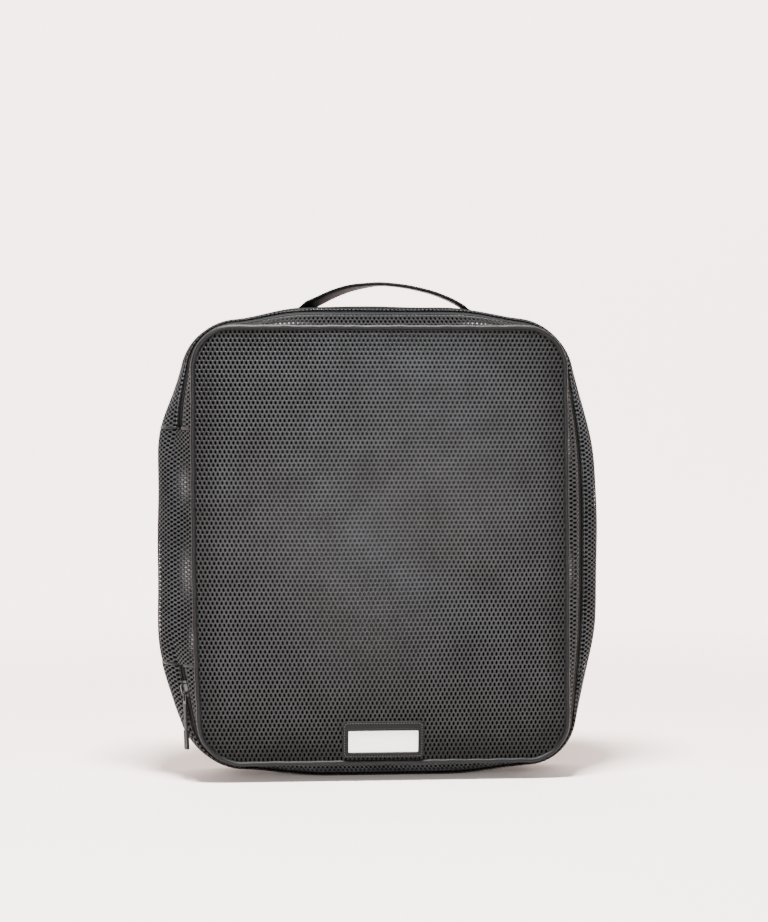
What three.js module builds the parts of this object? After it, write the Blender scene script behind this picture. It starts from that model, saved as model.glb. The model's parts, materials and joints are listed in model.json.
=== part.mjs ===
// A soft mesh packing cube: a zip-round lid on a bellied gusset, with a carry handle and a name label.
// Frame: millimetres, +X right, +Y back, +Z up. The origin is on the flat of the base, midway between the
// front and back seams. The front panel faces -Y.
import * as THREE from "three";

// ---- Driving dimensions ----
const PANEL_WIDTH = 300; // seam line of the front and back panels
const PANEL_HEIGHT = 346;
const CORNER_RADIUS = 32;
const SEAM_Y = 40; // front seam at -SEAM_Y, back seam at +SEAM_Y
const SEAM_LIFT = 12; // lowest point of the seam line above the ground
const FABRIC = 2; // thickness of the air mesh
const GAP = 0.4; // clearance between pieces that touch
const PIPING_RADIUS = 1.9;
const CORNER_STEPS = 6;

// How far each side of the gusset swells past the seam line (belly), how far it has swollen at the
// zip (rise), and how long the swelling takes to grow out of a corner (ramp).
const CORNER = { belly: 8, rise: 4 };
const SIDE = {
  left: { belly: 30, rise: 13.5, ramp: 47 },
  bottom: { belly: 16, rise: 10, ramp: 56 },
  right: { belly: 24, rise: 12.5, ramp: 64 },
  top: { belly: 16, rise: 12.5, ramp: 40 },
};
const BELLY_Y = 6; // where the gusset is fullest
const BAND_MIDDLE_Y = -31; // extra line of facets along the front band
const REAR_LINES = [-9, -2, BELLY_Y, 15, 24, 31]; // lines of facets along the rear band
const PANEL_CROWN = { front: 7, back: 5 }; // how far the middle of each panel stands out of its seam plane

// Zip: a reverse-coil chain in the plane y = ZIP_Y, open over the hinge panel only.
const ZIP_Y = -20;
const TAPE_SHOWN = 5; // half of the tape that shows between the two gusset bands
const TAPE_HIDDEN = 6; // how far each tape runs on under its band
const TAPE_SLOPE = 0.4; // outward swell of the tape per millimetre of depth
const TAPE_THICKNESS = 0.7;
const CHANNEL = 0.8; // half of the channel that the slider's post runs in
const COIL_WIDTH = 2.6;
const COIL_THICKNESS = 2.2;

const HALF_WIDTH = PANEL_WIDTH / 2;
const LOW_Z = SEAM_LIFT;
const HIGH_Z = SEAM_LIFT + PANEL_HEIGHT;
const CENTRE_Z = (LOW_Z + HIGH_Z) / 2;
const LEFT_LENGTH = PANEL_HEIGHT - 2 * CORNER_RADIUS;
const WIDTH_LENGTH = PANEL_WIDTH - 2 * CORNER_RADIUS;

// ---- Colours ----
const material = (color, roughness, metalness = 0) =>
  new THREE.MeshStandardMaterial({ color, roughness, metalness });
const meshFabric = material(0x3b3b3b, 0.8);
const pipingTape = material(0x454545, 0.6);
const wovenTape = material(0x2c2c2c, 0.7);
const liningFabric = material(0x303030, 0.85);
const coilNylon = material(0x1e1e1e, 0.4);
const webbing = material(0x383838, 0.75);
const labelRubber = material(0x3c3c3c, 0.55);
const cardWhite = material(0xf6f6f6, 0.5);
const clearFilm = material(0xe8eef0, 0.1);
const sliderMetal = material(0x3a3a3a, 0.35, 0.9);
const pullRubber = material(0x4a4a4a, 0.5);

// ---- The seam line: stations round a rounded rectangle, anticlockwise as seen from the front ----
// Each straight side starts where its first corner ends, and runs along `along` with its outside at `out`.
const straight = (name, start, along, out, length) => ({
  start: new THREE.Vector2(...start),
  along: new THREE.Vector2(...along),
  out: new THREE.Vector2(...out),
  length,
  ...SIDE[name],
});
const BOTTOM = straight("bottom", [-WIDTH_LENGTH / 2, LOW_Z], [1, 0], [0, -1], WIDTH_LENGTH);
const RIGHT = straight("right", [HALF_WIDTH, LOW_Z + CORNER_RADIUS], [0, 1], [1, 0], LEFT_LENGTH);
const TOP = straight("top", [WIDTH_LENGTH / 2, HIGH_Z], [-1, 0], [0, 1], WIDTH_LENGTH);
const LEFT = straight("left", [-HALF_WIDTH, HIGH_Z - CORNER_RADIUS], [0, -1], [-1, 0], LEFT_LENGTH);

// Station of a straight side, at a distance from its start.
function stationAt(side, distance) {
  const fromCorner = Math.min(distance, side.length - distance);
  const grown = Math.min(1, fromCorner / side.ramp);
  return {
    at: side.start.clone().addScaledVector(side.along, distance),
    out: side.out,
    belly: THREE.MathUtils.lerp(CORNER.belly, side.belly, grown),
    rise: THREE.MathUtils.lerp(CORNER.rise, side.rise, grown),
  };
}

// Stations of a straight side between two distances, with one where each ramp ends.
function sideStations(side, from = 0, to = side.length) {
  const marks = [0, side.ramp / 2, side.ramp];
  const middle = [0.2, 0.4, 0.6, 0.8].map((share) =>
    THREE.MathUtils.lerp(side.ramp, side.length - side.ramp, share),
  );
  const all = [...marks, ...middle, ...marks.map((mark) => side.length - mark).reverse()];
  return all
    .filter((distance) => distance >= from && distance <= to)
    .map((distance) => stationAt(side, distance));
}

// Stations strictly inside the corner whose arc starts at an angle.
function cornerStations(centreX, centreZ, startAngle) {
  return Array.from({ length: CORNER_STEPS - 1 }, (_, i) => {
    const angle = startAngle + ((i + 1) / CORNER_STEPS) * (Math.PI / 2);
    const out = new THREE.Vector2(Math.cos(angle), Math.sin(angle));
    const at = new THREE.Vector2(centreX, centreZ).addScaledVector(out, CORNER_RADIUS);
    return { at, out, ...CORNER };
  });
}

const CORNER_X = HALF_WIDTH - CORNER_RADIUS;
const CORNER_LOW = LOW_Z + CORNER_RADIUS;
const CORNER_HIGH = HIGH_Z - CORNER_RADIUS;
const HINGE_START = SIDE.left.ramp; // distances down the left side where the hinge panel starts and ends
const HINGE_END = LEFT_LENGTH - SIDE.left.ramp;

// The zip's run: down from the hinge panel, along the base, up the right side, over the top and down again.
const ZIP_RUN = [
  ...sideStations(LEFT, HINGE_END),
  ...cornerStations(-CORNER_X, CORNER_LOW, Math.PI),
  ...sideStations(BOTTOM),
  ...cornerStations(CORNER_X, CORNER_LOW, 1.5 * Math.PI),
  ...sideStations(RIGHT),
  ...cornerStations(CORNER_X, CORNER_HIGH, 0),
  ...sideStations(TOP),
  ...cornerStations(-CORNER_X, CORNER_HIGH, 0.5 * Math.PI),
  ...sideStations(LEFT, 0, HINGE_START),
];
const HINGE_RUN = sideStations(LEFT, HINGE_START, HINGE_END);
const WHOLE_LOOP = [...ZIP_RUN, ...HINGE_RUN.slice(1, -1)];

// ---- The gusset's surface ----
// How far the gusset stands out from the seam line at depth y.
function swell(station, y) {
  const frontEdge = ZIP_Y - TAPE_SHOWN;
  const backEdge = ZIP_Y + TAPE_SHOWN;
  const atFront = station.rise - TAPE_SLOPE * TAPE_SHOWN;
  const atBack = station.rise + TAPE_SLOPE * TAPE_SHOWN;
  if (y < frontEdge) return (atFront * (y + SEAM_Y)) / (frontEdge + SEAM_Y);
  if (y < backEdge) return station.rise + TAPE_SLOPE * (y - ZIP_Y);
  if (y < BELLY_Y) {
    const left = (BELLY_Y - y) / (BELLY_Y - backEdge);
    return station.belly - (station.belly - atBack) * left ** 2;
  }
  const past = (y - BELLY_Y) / (SEAM_Y - BELLY_Y);
  return station.belly * (1 - past ** 2.2);
}

// A point on the gusset, `above` millimetres outside its outer face. The layers are stacked square to the
// zip tape, so a deeper one lies further back. The base is pressed flat on the ground.
function gussetPoint(station, y, above) {
  const reach = swell(station, y) + above;
  const x = station.at.x + station.out.x * reach;
  const z = station.at.y + station.out.y * reach;
  return new THREE.Vector3(x, y - TAPE_SLOPE * above, Math.max(z, -above));
}

// A point beside the seam line, `inset` millimetres inside it.
function seamPoint(station, y, inset) {
  return new THREE.Vector3(station.at.x - station.out.x * inset, y, station.at.y - station.out.y * inset);
}

// ---- Solids ----
function signedVolume(positions, indices) {
  const [a, b, c] = [new THREE.Vector3(), new THREE.Vector3(), new THREE.Vector3()];
  let sum = 0;
  for (let i = 0; i < indices.length; i += 3) {
    a.fromArray(positions, 3 * indices[i]);
    b.fromArray(positions, 3 * indices[i + 1]);
    c.fromArray(positions, 3 * indices[i + 2]);
    sum += a.dot(b.cross(c));
  }
  return sum / 6;
}

// A solid through rings that each hold the same number of points. "loop" joins the last ring to the first,
// "strip" closes each end across the ring's two faces, and "fan" closes each end round its middle.
function loft(rings, ends) {
  const size = rings[0].length;
  const points = rings.flat();
  const indices = [];
  const quad = (a, b, c, d) => indices.push(a, b, c, a, c, d);
  const crossed = (a, b, c, d) => indices.push(a, b, d, b, c, d);
  const spans = ends === "loop" ? rings.length : rings.length - 1;
  for (let i = 0; i < spans; i++) {
    const here = i * size;
    const next = ((i + 1) % rings.length) * size;
    for (let j = 0; j < size; j++) {
      const k = (j + 1) % size;
      const split = j < size / 2 ? quad : crossed; // so that a strip's two faces bend along the same lines
      split(here + j, next + j, next + k, here + k);
    }
  }
  const last = (rings.length - 1) * size;
  if (ends === "strip") {
    for (let j = 0; j < size / 2 - 1; j++) {
      quad(j, j + 1, size - 2 - j, size - 1 - j);
      quad(last + j, last + size - 1 - j, last + size - 2 - j, last + j + 1);
    }
  }
  if (ends === "fan") {
    const middle = (ring) => ring.reduce((sum, p) => sum.add(p), new THREE.Vector3()).divideScalar(size);
    const [first, final] = [points.length, points.length + 1];
    points.push(middle(rings[0]), middle(rings.at(-1)));
    for (let j = 0; j < size; j++) {
      const k = (j + 1) % size;
      indices.push(first, j, k, final, last + k, last + j);
    }
  }
  const positions = points.flatMap((p) => p.toArray());
  if (signedVolume(positions, indices) < 0) indices.reverse();
  const geometry = new THREE.BufferGeometry();
  geometry.setAttribute("position", new THREE.Float32BufferAttribute(positions, 3));
  geometry.setIndex(indices);
  geometry.computeVertexNormals();
  return geometry;
}

// A strip of the gusset: depths from front to back, between two heights above the outer face.
function gussetStrip(run, depths, outer, inner) {
  const rings = run.map((station) => [
    ...depths.map((y) => gussetPoint(station, y, outer)),
    ...depths.toReversed().map((y) => gussetPoint(station, y, inner)),
  ]);
  return loft(rings, "strip");
}

// A crowned panel inside the seam line: side is -1 at the front and 1 at the back.
function panel(side, crown) {
  const inset = PIPING_RADIUS + GAP;
  const centre = new THREE.Vector3(0, 0, CENTRE_Z);
  const ring = (share, y) =>
    WHOLE_LOOP.map((station) => {
      const point = seamPoint(station, 0, inset).sub(centre).multiplyScalar(share).add(centre);
      return point.setY(side * (y + crown * (1 - share ** 3)));
    });
  const shares = [0.25, 0.5, 0.72, 0.88, 1];
  const innerRings = shares.map((share) => ring(share, SEAM_Y - FABRIC / 2));
  const outerRings = shares.toReversed().map((share) => ring(share, SEAM_Y + FABRIC / 2));
  return loft([...innerRings, ...outerRings], "fan");
}

// The covered cord sewn into a seam.
function piping(side) {
  const sides = 8;
  const rings = WHOLE_LOOP.map((station) =>
    Array.from({ length: sides }, (_, i) => {
      const angle = ((i + 0.5) / sides) * 2 * Math.PI;
      const y = side * SEAM_Y + PIPING_RADIUS * Math.sin(angle);
      return seamPoint(station, y, PIPING_RADIUS * Math.cos(angle));
    }),
  );
  return loft(rings, "loop");
}

// The folded tape that binds a seam's raw edges inside the bag.
function seamBinding(side) {
  const near = PIPING_RADIUS + GAP + 0.3;
  const width = 8;
  const outerY = SEAM_Y - FABRIC / 2 - GAP;
  const thickness = 2.2;
  const rings = WHOLE_LOOP.map((station) => [
    seamPoint(station, side * outerY, near),
    seamPoint(station, side * outerY, near + width),
    seamPoint(station, side * (outerY - thickness), near + width),
    seamPoint(station, side * (outerY - thickness), near),
  ]);
  return loft(rings, "loop");
}

// ---- Assembly helpers ----
const bag = new THREE.Group();
function add(name, geometry, surface, parent = bag) {
  const piece = new THREE.Mesh(geometry, surface);
  piece.name = name;
  parent.add(piece);
  return piece;
}

// ---- Shells: panels, piping, gusset bands, hinge panel and seam bindings ----
const SEAM_CLEAR = PIPING_RADIUS + GAP;
const FRONT_EDGE = -SEAM_Y + SEAM_CLEAR;
const BACK_EDGE = SEAM_Y - SEAM_CLEAR - TAPE_SLOPE * FABRIC;
const FRONT_BAND = [FRONT_EDGE, BAND_MIDDLE_Y, ZIP_Y - TAPE_SHOWN];
const BACK_BAND = [ZIP_Y + TAPE_SHOWN, ...REAR_LINES, BACK_EDGE];

add("front_panel", panel(-1, PANEL_CROWN.front), meshFabric);
add("back_panel", panel(1, PANEL_CROWN.back), liningFabric);
add("front_piping", piping(-1), pipingTape);
add("back_piping", piping(1), pipingTape);
add("front_seam_binding", seamBinding(-1), wovenTape);
add("back_seam_binding", seamBinding(1), wovenTape);
add("front_gusset", gussetStrip(ZIP_RUN, FRONT_BAND, 0, -FABRIC), meshFabric);
add("rear_gusset", gussetStrip(ZIP_RUN, BACK_BAND, 0, -FABRIC), meshFabric);

// The hinge panel is one piece of mesh, in two nodes that meet at the fold.
const HINGE_INSIDE = [
  stationAt(LEFT, HINGE_START + GAP),
  ...HINGE_RUN.slice(1, -1),
  stationAt(LEFT, HINGE_END - GAP),
];
const HINGE_FRONT = [FRONT_EDGE, BAND_MIDDLE_Y, ZIP_Y - TAPE_SHOWN, ZIP_Y - GAP];
const HINGE_REAR = [ZIP_Y + GAP, ...BACK_BAND];
add("hinge_panel_front", gussetStrip(HINGE_INSIDE, HINGE_FRONT, 0, -FABRIC), meshFabric);
add("hinge_panel_rear", gussetStrip(HINGE_INSIDE, HINGE_REAR, 0, -FABRIC), meshFabric);

// ---- Zip: two tapes and two coils ----
const TAPE_OUTER = -FABRIC - 0.3;
const TAPE_INNER = TAPE_OUTER - TAPE_THICKNESS;
const COIL_OUTER = TAPE_INNER - 0.3;
const TAPE_REACH = TAPE_SHOWN + TAPE_HIDDEN;
const mirrored = (depths) => depths.map((y) => 2 * ZIP_Y - y).reverse();
const LID_TAPE = [ZIP_Y - TAPE_REACH, ZIP_Y - TAPE_SHOWN, ZIP_Y - CHANNEL];
const LID_COIL = [ZIP_Y - CHANNEL - COIL_WIDTH, ZIP_Y - CHANNEL];

// Slider: where it stands at rest, and the straight stretch of the zip that it runs down.
const SLIDER_Z = 72;
const SLIDER_LENGTH = 13;
const CHAIN_TOP_Z = SLIDER_Z - SLIDER_LENGTH / 2 - 1.5; // the lid's half of the chain starts under the slider
const LEFT_TOP_Z = LEFT.start.y;
const LID_CHAIN_RUN = [
  stationAt(LEFT, LEFT_TOP_Z - CHAIN_TOP_Z),
  ...ZIP_RUN.filter((station, i) => i > 2 || station.at.y < CHAIN_TOP_Z),
];
const layer = (run, depths, outer, thickness) => gussetStrip(run, depths, outer, outer - thickness);
add("lid_zip_tape", layer(LID_CHAIN_RUN, LID_TAPE, TAPE_OUTER, TAPE_THICKNESS), wovenTape);
add("lid_zip_coil", layer(LID_CHAIN_RUN, LID_COIL, COIL_OUTER, COIL_THICKNESS), coilNylon);
add("body_zip_tape", layer(ZIP_RUN, mirrored(LID_TAPE), TAPE_OUTER, TAPE_THICKNESS), wovenTape);
add("body_zip_coil", layer(ZIP_RUN, mirrored(LID_COIL), COIL_OUTER, COIL_THICKNESS), coilNylon);

// ---- Hems: the hinge panel's two ends, folded over and stitched down across the zip's ends ----
const HEM_WIDTH = 6;
const HEM_THICKNESS = 2;
const HEM_CLEAR = 7; // how far each hem stays from the fold
const HEM_INSET = 3.5; // from the end of the hinge panel to the middle of its hem
const HEM_FRONT = [FRONT_EDGE, BAND_MIDDLE_Y, ZIP_Y - HEM_CLEAR];
const HEM_REAR = [ZIP_Y + HEM_CLEAR + 1, ...REAR_LINES];
function hem(distance, depths) {
  const run = [-0.5, 0.5].map((share) => stationAt(LEFT, distance + share * HEM_WIDTH));
  return gussetStrip(run, depths, GAP + HEM_THICKNESS, GAP);
}
const HEM_AT = { upper: HINGE_START + HEM_INSET, lower: HINGE_END - HEM_INSET };
for (const [end, distance] of Object.entries(HEM_AT)) {
  add(`${end}_hem_front`, hem(distance, HEM_FRONT), wovenTape);
  add(`${end}_hem_rear`, hem(distance, HEM_REAR), wovenTape);
}

// ---- Slider: a body that wraps both halves of the chain, and a bridge that carries the pull ----
// Local axes of the slider: x across the zip towards the lid, y up along it, z out of the bag.
const zipSlope = (SIDE.left.rise - CORNER.rise) / SIDE.left.ramp;
const sliderUp = new THREE.Vector3(-zipSlope, 0, 1).normalize();
const sliderOut = new THREE.Vector3(-1, -TAPE_SLOPE, -zipSlope).normalize();
const sliderAcross = new THREE.Vector3().crossVectors(sliderUp, sliderOut);
const slider = new THREE.Group();
slider.position.copy(gussetPoint(stationAt(LEFT, LEFT_TOP_Z - SLIDER_Z), ZIP_Y, 0));
slider.setRotationFromMatrix(new THREE.Matrix4().makeBasis(sliderAcross, sliderUp, sliderOut));
bag.add(slider);

const FLATNESS = -sliderOut.x * (1 + TAPE_SLOPE ** 2); // turns a layer's height into one square to the tape
const SLIDER_HALF = 4.9;
const PLATE = 1.3;
const WALL = 0.8;
const POST_HALF = 0.45;
const PLAY = 0.35; // clearance between the slider and the chain
const plateFloor = TAPE_OUTER * FLATNESS + PLAY; // the outer plate rides over the tapes
const plateTop = plateFloor + PLATE;
const coilFloor = (COIL_OUTER - COIL_THICKNESS) * FLATNESS - PLAY; // the inner plate runs under the coils
const wallTop = TAPE_INNER * FLATNESS - PLAY;

// A closed outline from half of it: points [x, z] down its +x side, mirrored back up the other side.
function mirroredShape(half) {
  const other = half.map(([x, z]) => [-x, z]).reverse();
  return new THREE.Shape([...half, ...other].map(([x, z]) => new THREE.Vector2(x, z)));
}

// An outline in x and z, run along the slider's y and centred on it.
function alongY(shape, length) {
  const geometry = new THREE.ExtrudeGeometry(shape, { depth: length, bevelEnabled: false });
  return geometry.translate(0, 0, -length / 2).rotateX(Math.PI / 2);
}

// An outline in y and z, run along the slider's x and centred on it.
function alongX(shape, length) {
  return alongY(shape, length).rotateZ(Math.PI / 2);
}

// A flat piece: an outline in x and y, given a thickness about z.
function flat(shape, thickness, curveSegments = 5) {
  const options = { depth: thickness, bevelEnabled: false, curveSegments };
  return new THREE.ExtrudeGeometry(shape, options).translate(0, 0, -thickness / 2);
}

const sliderShape = mirroredShape([
  [SLIDER_HALF, plateTop],
  [SLIDER_HALF, plateFloor],
  [POST_HALF, plateFloor],
  [POST_HALF, coilFloor],
  [SLIDER_HALF - WALL, coilFloor],
  [SLIDER_HALF - WALL, wallTop],
  [SLIDER_HALF, wallTop],
  [SLIDER_HALF, coilFloor - PLATE],
]);
add("slider_body", alongY(sliderShape, SLIDER_LENGTH), sliderMetal, slider);

const BRIDGE = { half: 4.8, height: 3.6, wall: 1, width: 2.4 };
const bridgeFloor = plateTop + GAP;
const bridgeRound = BRIDGE.height - 1.2;
function archOutline() {
  const { half, height, wall } = BRIDGE;
  const arch = new THREE.Shape();
  const inner = bridgeRound - wall;
  const roundX = half - bridgeRound;
  const roundZ = bridgeFloor + height - bridgeRound;
  arch.moveTo(-half, bridgeFloor);
  arch.lineTo(-half, roundZ);
  arch.absarc(-roundX, roundZ, bridgeRound, Math.PI, Math.PI / 2, true);
  arch.absarc(roundX, roundZ, bridgeRound, Math.PI / 2, 0, true);
  arch.lineTo(half, bridgeFloor);
  arch.lineTo(half - wall, bridgeFloor);
  arch.absarc(roundX, roundZ, inner, 0, Math.PI / 2, false);
  arch.absarc(-roundX, roundZ, inner, Math.PI / 2, Math.PI, false);
  arch.lineTo(wall - half, bridgeFloor);
  return arch;
}
add("slider_bridge", alongX(archOutline(), BRIDGE.width), sliderMetal, slider);

// ---- Pull: a metal link round the bridge, a flat tab and a moulded grip; it hangs along its own -y ----
const PULL_LENGTH = 45;
const PULL_LEAN = THREE.MathUtils.degToRad(5); // how far it hangs out from the line of the zip
const LINK = { half: 2.8, window: 1.65, bar: 0.65, eye: 6.8, length: 9, thickness: 1.2 };
const TAB = { half: 3.4, length: 19.5, thickness: 1.7 };
const GRIP = { half: 4.4, thickness: 3 };
const pull = new THREE.Group();
pull.position.set(0, -BRIDGE.half + BRIDGE.wall + LINK.bar + GAP, bridgeFloor + LINK.bar + 0.5);
pull.rotation.x = -PULL_LEAN;
slider.add(pull);

// A rectangle with rounded corners, centred on x, between two heights in y.
function roundedRectangle(width, low, high, round) {
  const x = width / 2 - round;
  const shape = new THREE.Shape();
  shape.absarc(x, high - round, round, 0, Math.PI / 2, false);
  shape.absarc(-x, high - round, round, Math.PI / 2, Math.PI, false);
  shape.absarc(-x, low + round, round, Math.PI, 1.5 * Math.PI, false);
  shape.absarc(x, low + round, round, 1.5 * Math.PI, 2 * Math.PI, false);
  return shape;
}

const linkShape = roundedRectangle(2 * LINK.half, -LINK.length, LINK.bar, 0.8);
linkShape.holes.push(roundedRectangle(2 * LINK.window, -LINK.eye, -LINK.bar, 0.5));
const tabStart = LINK.length + GAP;
const gripStart = tabStart + TAB.length + GAP;
add("pull_link", flat(linkShape, LINK.thickness), sliderMetal, pull);
const tabShape = roundedRectangle(2 * TAB.half, GAP - gripStart, -tabStart, 0.6);
const gripShape = roundedRectangle(2 * GRIP.half, -PULL_LENGTH, -gripStart, 1.2);
add("pull_tab", flat(tabShape, TAB.thickness), pullRubber, pull);
add("pull_grip", flat(gripShape, GRIP.thickness), pullRubber, pull);

// ---- Handle: a webbing strap on the top, sewn down at both ends over a patch inside ----
const HANDLE = { left: -50, right: 68, y: 7, half: 11, rise: 17.6, thickness: 2.2, foot: 16 };
const FOOT_THICKNESS = 2.2;
const PATCH = { depths: [-8, -2, BELLY_Y, 15, 24, 28], overhang: 6, thickness: 1.2 };
const PATCH_OUTER = -FABRIC - 1;
const topZ = HIGH_Z + SIDE.top.belly;
const topDistance = (x) => TOP.start.x - x; // distance along the top side of a place across the bag

// A strip that lies on the top, or under it, between two places across the bag.
function topStrip(fromX, toX, depths, outer, thickness) {
  const [start, end] = [topDistance(toX), topDistance(fromX)];
  const between = sideStations(TOP, start + 1, end - 1);
  return layer([stationAt(TOP, start), ...between, stationAt(TOP, end)], depths, outer, thickness);
}

const footDepths = [HANDLE.y - HANDLE.half, -2, BELLY_Y, 15, HANDLE.y + HANDLE.half];
const footOuter = GAP + FOOT_THICKNESS;
for (const [end, from, to] of [
  ["left", HANDLE.left - HANDLE.foot, HANDLE.left + 2],
  ["right", HANDLE.right - 2, HANDLE.right + HANDLE.foot],
]) {
  add(`handle_end_${end}`, topStrip(from, to, footDepths, footOuter, FOOT_THICKNESS), webbing);
}
const patchFrom = HANDLE.left - HANDLE.foot - PATCH.overhang;
const patchTo = HANDLE.right + HANDLE.foot + PATCH.overhang;
add("handle_patch", topStrip(patchFrom, patchTo, PATCH.depths, PATCH_OUTER, PATCH.thickness), liningFabric);

// The free arch. It narrows to a neck over each sewn end, so that it can tip without touching the top.
const HANDLE_TILT = THREE.MathUtils.degToRad(25);
const archFloor = topZ + footOuter + 1; // the line that the arch tips about
function handleArch() {
  const steps = 16;
  const height = topZ + HANDLE.rise - HANDLE.thickness - archFloor;
  const rings = Array.from({ length: steps + 1 }, (_, i) => {
    const share = i / steps;
    const x = THREE.MathUtils.lerp(HANDLE.left, HANDLE.right, share);
    const z = archFloor + height * (1 - Math.abs(2 * share - 1) ** 2.4);
    const clear = (z - archFloor) * Math.cos(HANDLE_TILT) + 0.5;
    const half = Math.min(clear / Math.sin(HANDLE_TILT), HANDLE.half);
    return [
      new THREE.Vector3(x, HANDLE.y - half, z + HANDLE.thickness),
      new THREE.Vector3(x, HANDLE.y + half, z + HANDLE.thickness),
      new THREE.Vector3(x, HANDLE.y + half, z),
      new THREE.Vector3(x, HANDLE.y - half, z),
    ];
  });
  return loft(rings, "strip");
}
add("handle_strap", handleArch(), webbing);

// ---- Name label: a rubber frame over a white card, low on the middle of the front panel ----
const LABEL = {
  width: 64,
  height: 29,
  windowWidth: 56,
  windowHeight: 17.5,
  windowDrop: 1.8,
  centreZ: 32,
  lift: 0.9,
};
const BACKING = 0.8;
const FRAME = 1.5;
const CARD = 0.4;
const FILM = 0.3;
const label = new THREE.Group();
// The panel's facets fall away from its crown towards the seam; the label lies flat on them.
const crownAt = (share) => PANEL_CROWN.front * (1 - share ** 3);
const shareAt = (z) => (CENTRE_Z - z) / (CENTRE_Z - LOW_Z - PIPING_RADIUS - GAP);
const labelHigh = LABEL.centreZ + LABEL.height / 2;
const labelLow = LABEL.centreZ - LABEL.height / 2;
const labelFall = crownAt(shareAt(labelHigh)) - crownAt(shareAt(labelLow));
const labelY = -(SEAM_Y + FABRIC / 2 + crownAt(shareAt(LABEL.centreZ)) + LABEL.lift);
label.position.set(0, labelY, LABEL.centreZ);
label.rotation.x = Math.PI / 2 + Math.atan2(labelFall, LABEL.height);
bag.add(label);

function labelLayer(name, shape, floor, thickness, surface) {
  add(name, flat(shape, thickness).translate(0, 0, floor + thickness / 2), surface, label);
}

const frameFloor = BACKING + GAP;
const platform = roundedRectangle(LABEL.width, -LABEL.height / 2, LABEL.height / 2, 3);
const inWindow = (margin, round) =>
  roundedRectangle(
    LABEL.windowWidth - 2 * margin,
    margin - LABEL.windowHeight / 2 - LABEL.windowDrop,
    LABEL.windowHeight / 2 - LABEL.windowDrop - margin,
    round,
  );
labelLayer("label_backing", platform, 0, BACKING, labelRubber);
labelLayer("label_card", inWindow(GAP, 0.8), frameFloor, CARD, cardWhite);
labelLayer("label_window", inWindow(GAP, 0.8), frameFloor + CARD + GAP, FILM, clearFilm);
const frameShape = platform.clone();
frameShape.holes.push(inWindow(0, 1));
labelLayer("label_frame", frameShape, frameFloor, FRAME, labelRubber);

// ---- Place the whole bag over the middle of its own bounding box ----
const middle = new THREE.Box3().setFromObject(bag).getCenter(new THREE.Vector3());
bag.position.set(-middle.x, -middle.y, 0);

export default bag;
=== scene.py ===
import json
import math

import bpy
import numpy as np
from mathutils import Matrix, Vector


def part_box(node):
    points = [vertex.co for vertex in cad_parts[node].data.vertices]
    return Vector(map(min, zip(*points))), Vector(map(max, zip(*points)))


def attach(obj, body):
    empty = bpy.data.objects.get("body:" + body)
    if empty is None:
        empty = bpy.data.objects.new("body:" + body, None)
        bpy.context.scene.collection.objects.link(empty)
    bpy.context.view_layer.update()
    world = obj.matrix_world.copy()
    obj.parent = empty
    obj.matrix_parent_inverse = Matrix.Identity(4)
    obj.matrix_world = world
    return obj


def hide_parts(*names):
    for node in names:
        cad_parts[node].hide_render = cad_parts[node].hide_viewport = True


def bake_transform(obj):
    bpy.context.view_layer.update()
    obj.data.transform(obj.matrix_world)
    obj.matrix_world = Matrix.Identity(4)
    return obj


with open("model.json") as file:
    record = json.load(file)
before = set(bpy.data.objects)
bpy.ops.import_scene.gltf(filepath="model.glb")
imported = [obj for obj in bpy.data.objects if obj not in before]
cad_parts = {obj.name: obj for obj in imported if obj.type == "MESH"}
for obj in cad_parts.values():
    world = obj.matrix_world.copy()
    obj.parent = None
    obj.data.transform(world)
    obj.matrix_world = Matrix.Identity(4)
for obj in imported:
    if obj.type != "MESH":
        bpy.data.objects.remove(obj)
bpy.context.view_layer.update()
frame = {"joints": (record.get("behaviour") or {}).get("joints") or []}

MM = 0.001
JOINTS = {joint["name"]: joint for joint in frame["joints"]}

# ---------------------------------------------------------------- places that the frame gives
PIPE_LOW, PIPE_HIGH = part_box("front_piping")
PIPE_RADIUS = (PIPE_HIGH.y - PIPE_LOW.y) / 2
SEAM_X = (PIPE_LOW.x + PIPE_HIGH.x) / 2
FRONT_Y = (PIPE_LOW.y + PIPE_HIGH.y) / 2
BACK_Y = (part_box("back_piping")[0].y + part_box("back_piping")[1].y) / 2
HALF_WIDTH = (PIPE_HIGH.x - PIPE_LOW.x) / 2 - PIPE_RADIUS
SEAM_LOW = PIPE_LOW.z + PIPE_RADIUS
SEAM_HIGH = PIPE_HIGH.z - PIPE_RADIUS
SEAM_MID = (SEAM_LOW + SEAM_HIGH) / 2
SEAM_TALL = SEAM_HIGH - SEAM_LOW
ZIP_Y = JOINTS["lid_hinge"]["pos_m"][1]
HINGE_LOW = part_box("hinge_panel_rear")[0].z
HINGE_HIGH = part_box("hinge_panel_rear")[1].z
TOP_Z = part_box("rear_gusset")[1].z

# ---------------------------------------------------------------- sizes of the soft shape
CORNER_RADIUS = 32 * MM
CORNER_DIP = 2.5 * MM  # how much less the gusset swells half way round a corner
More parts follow.
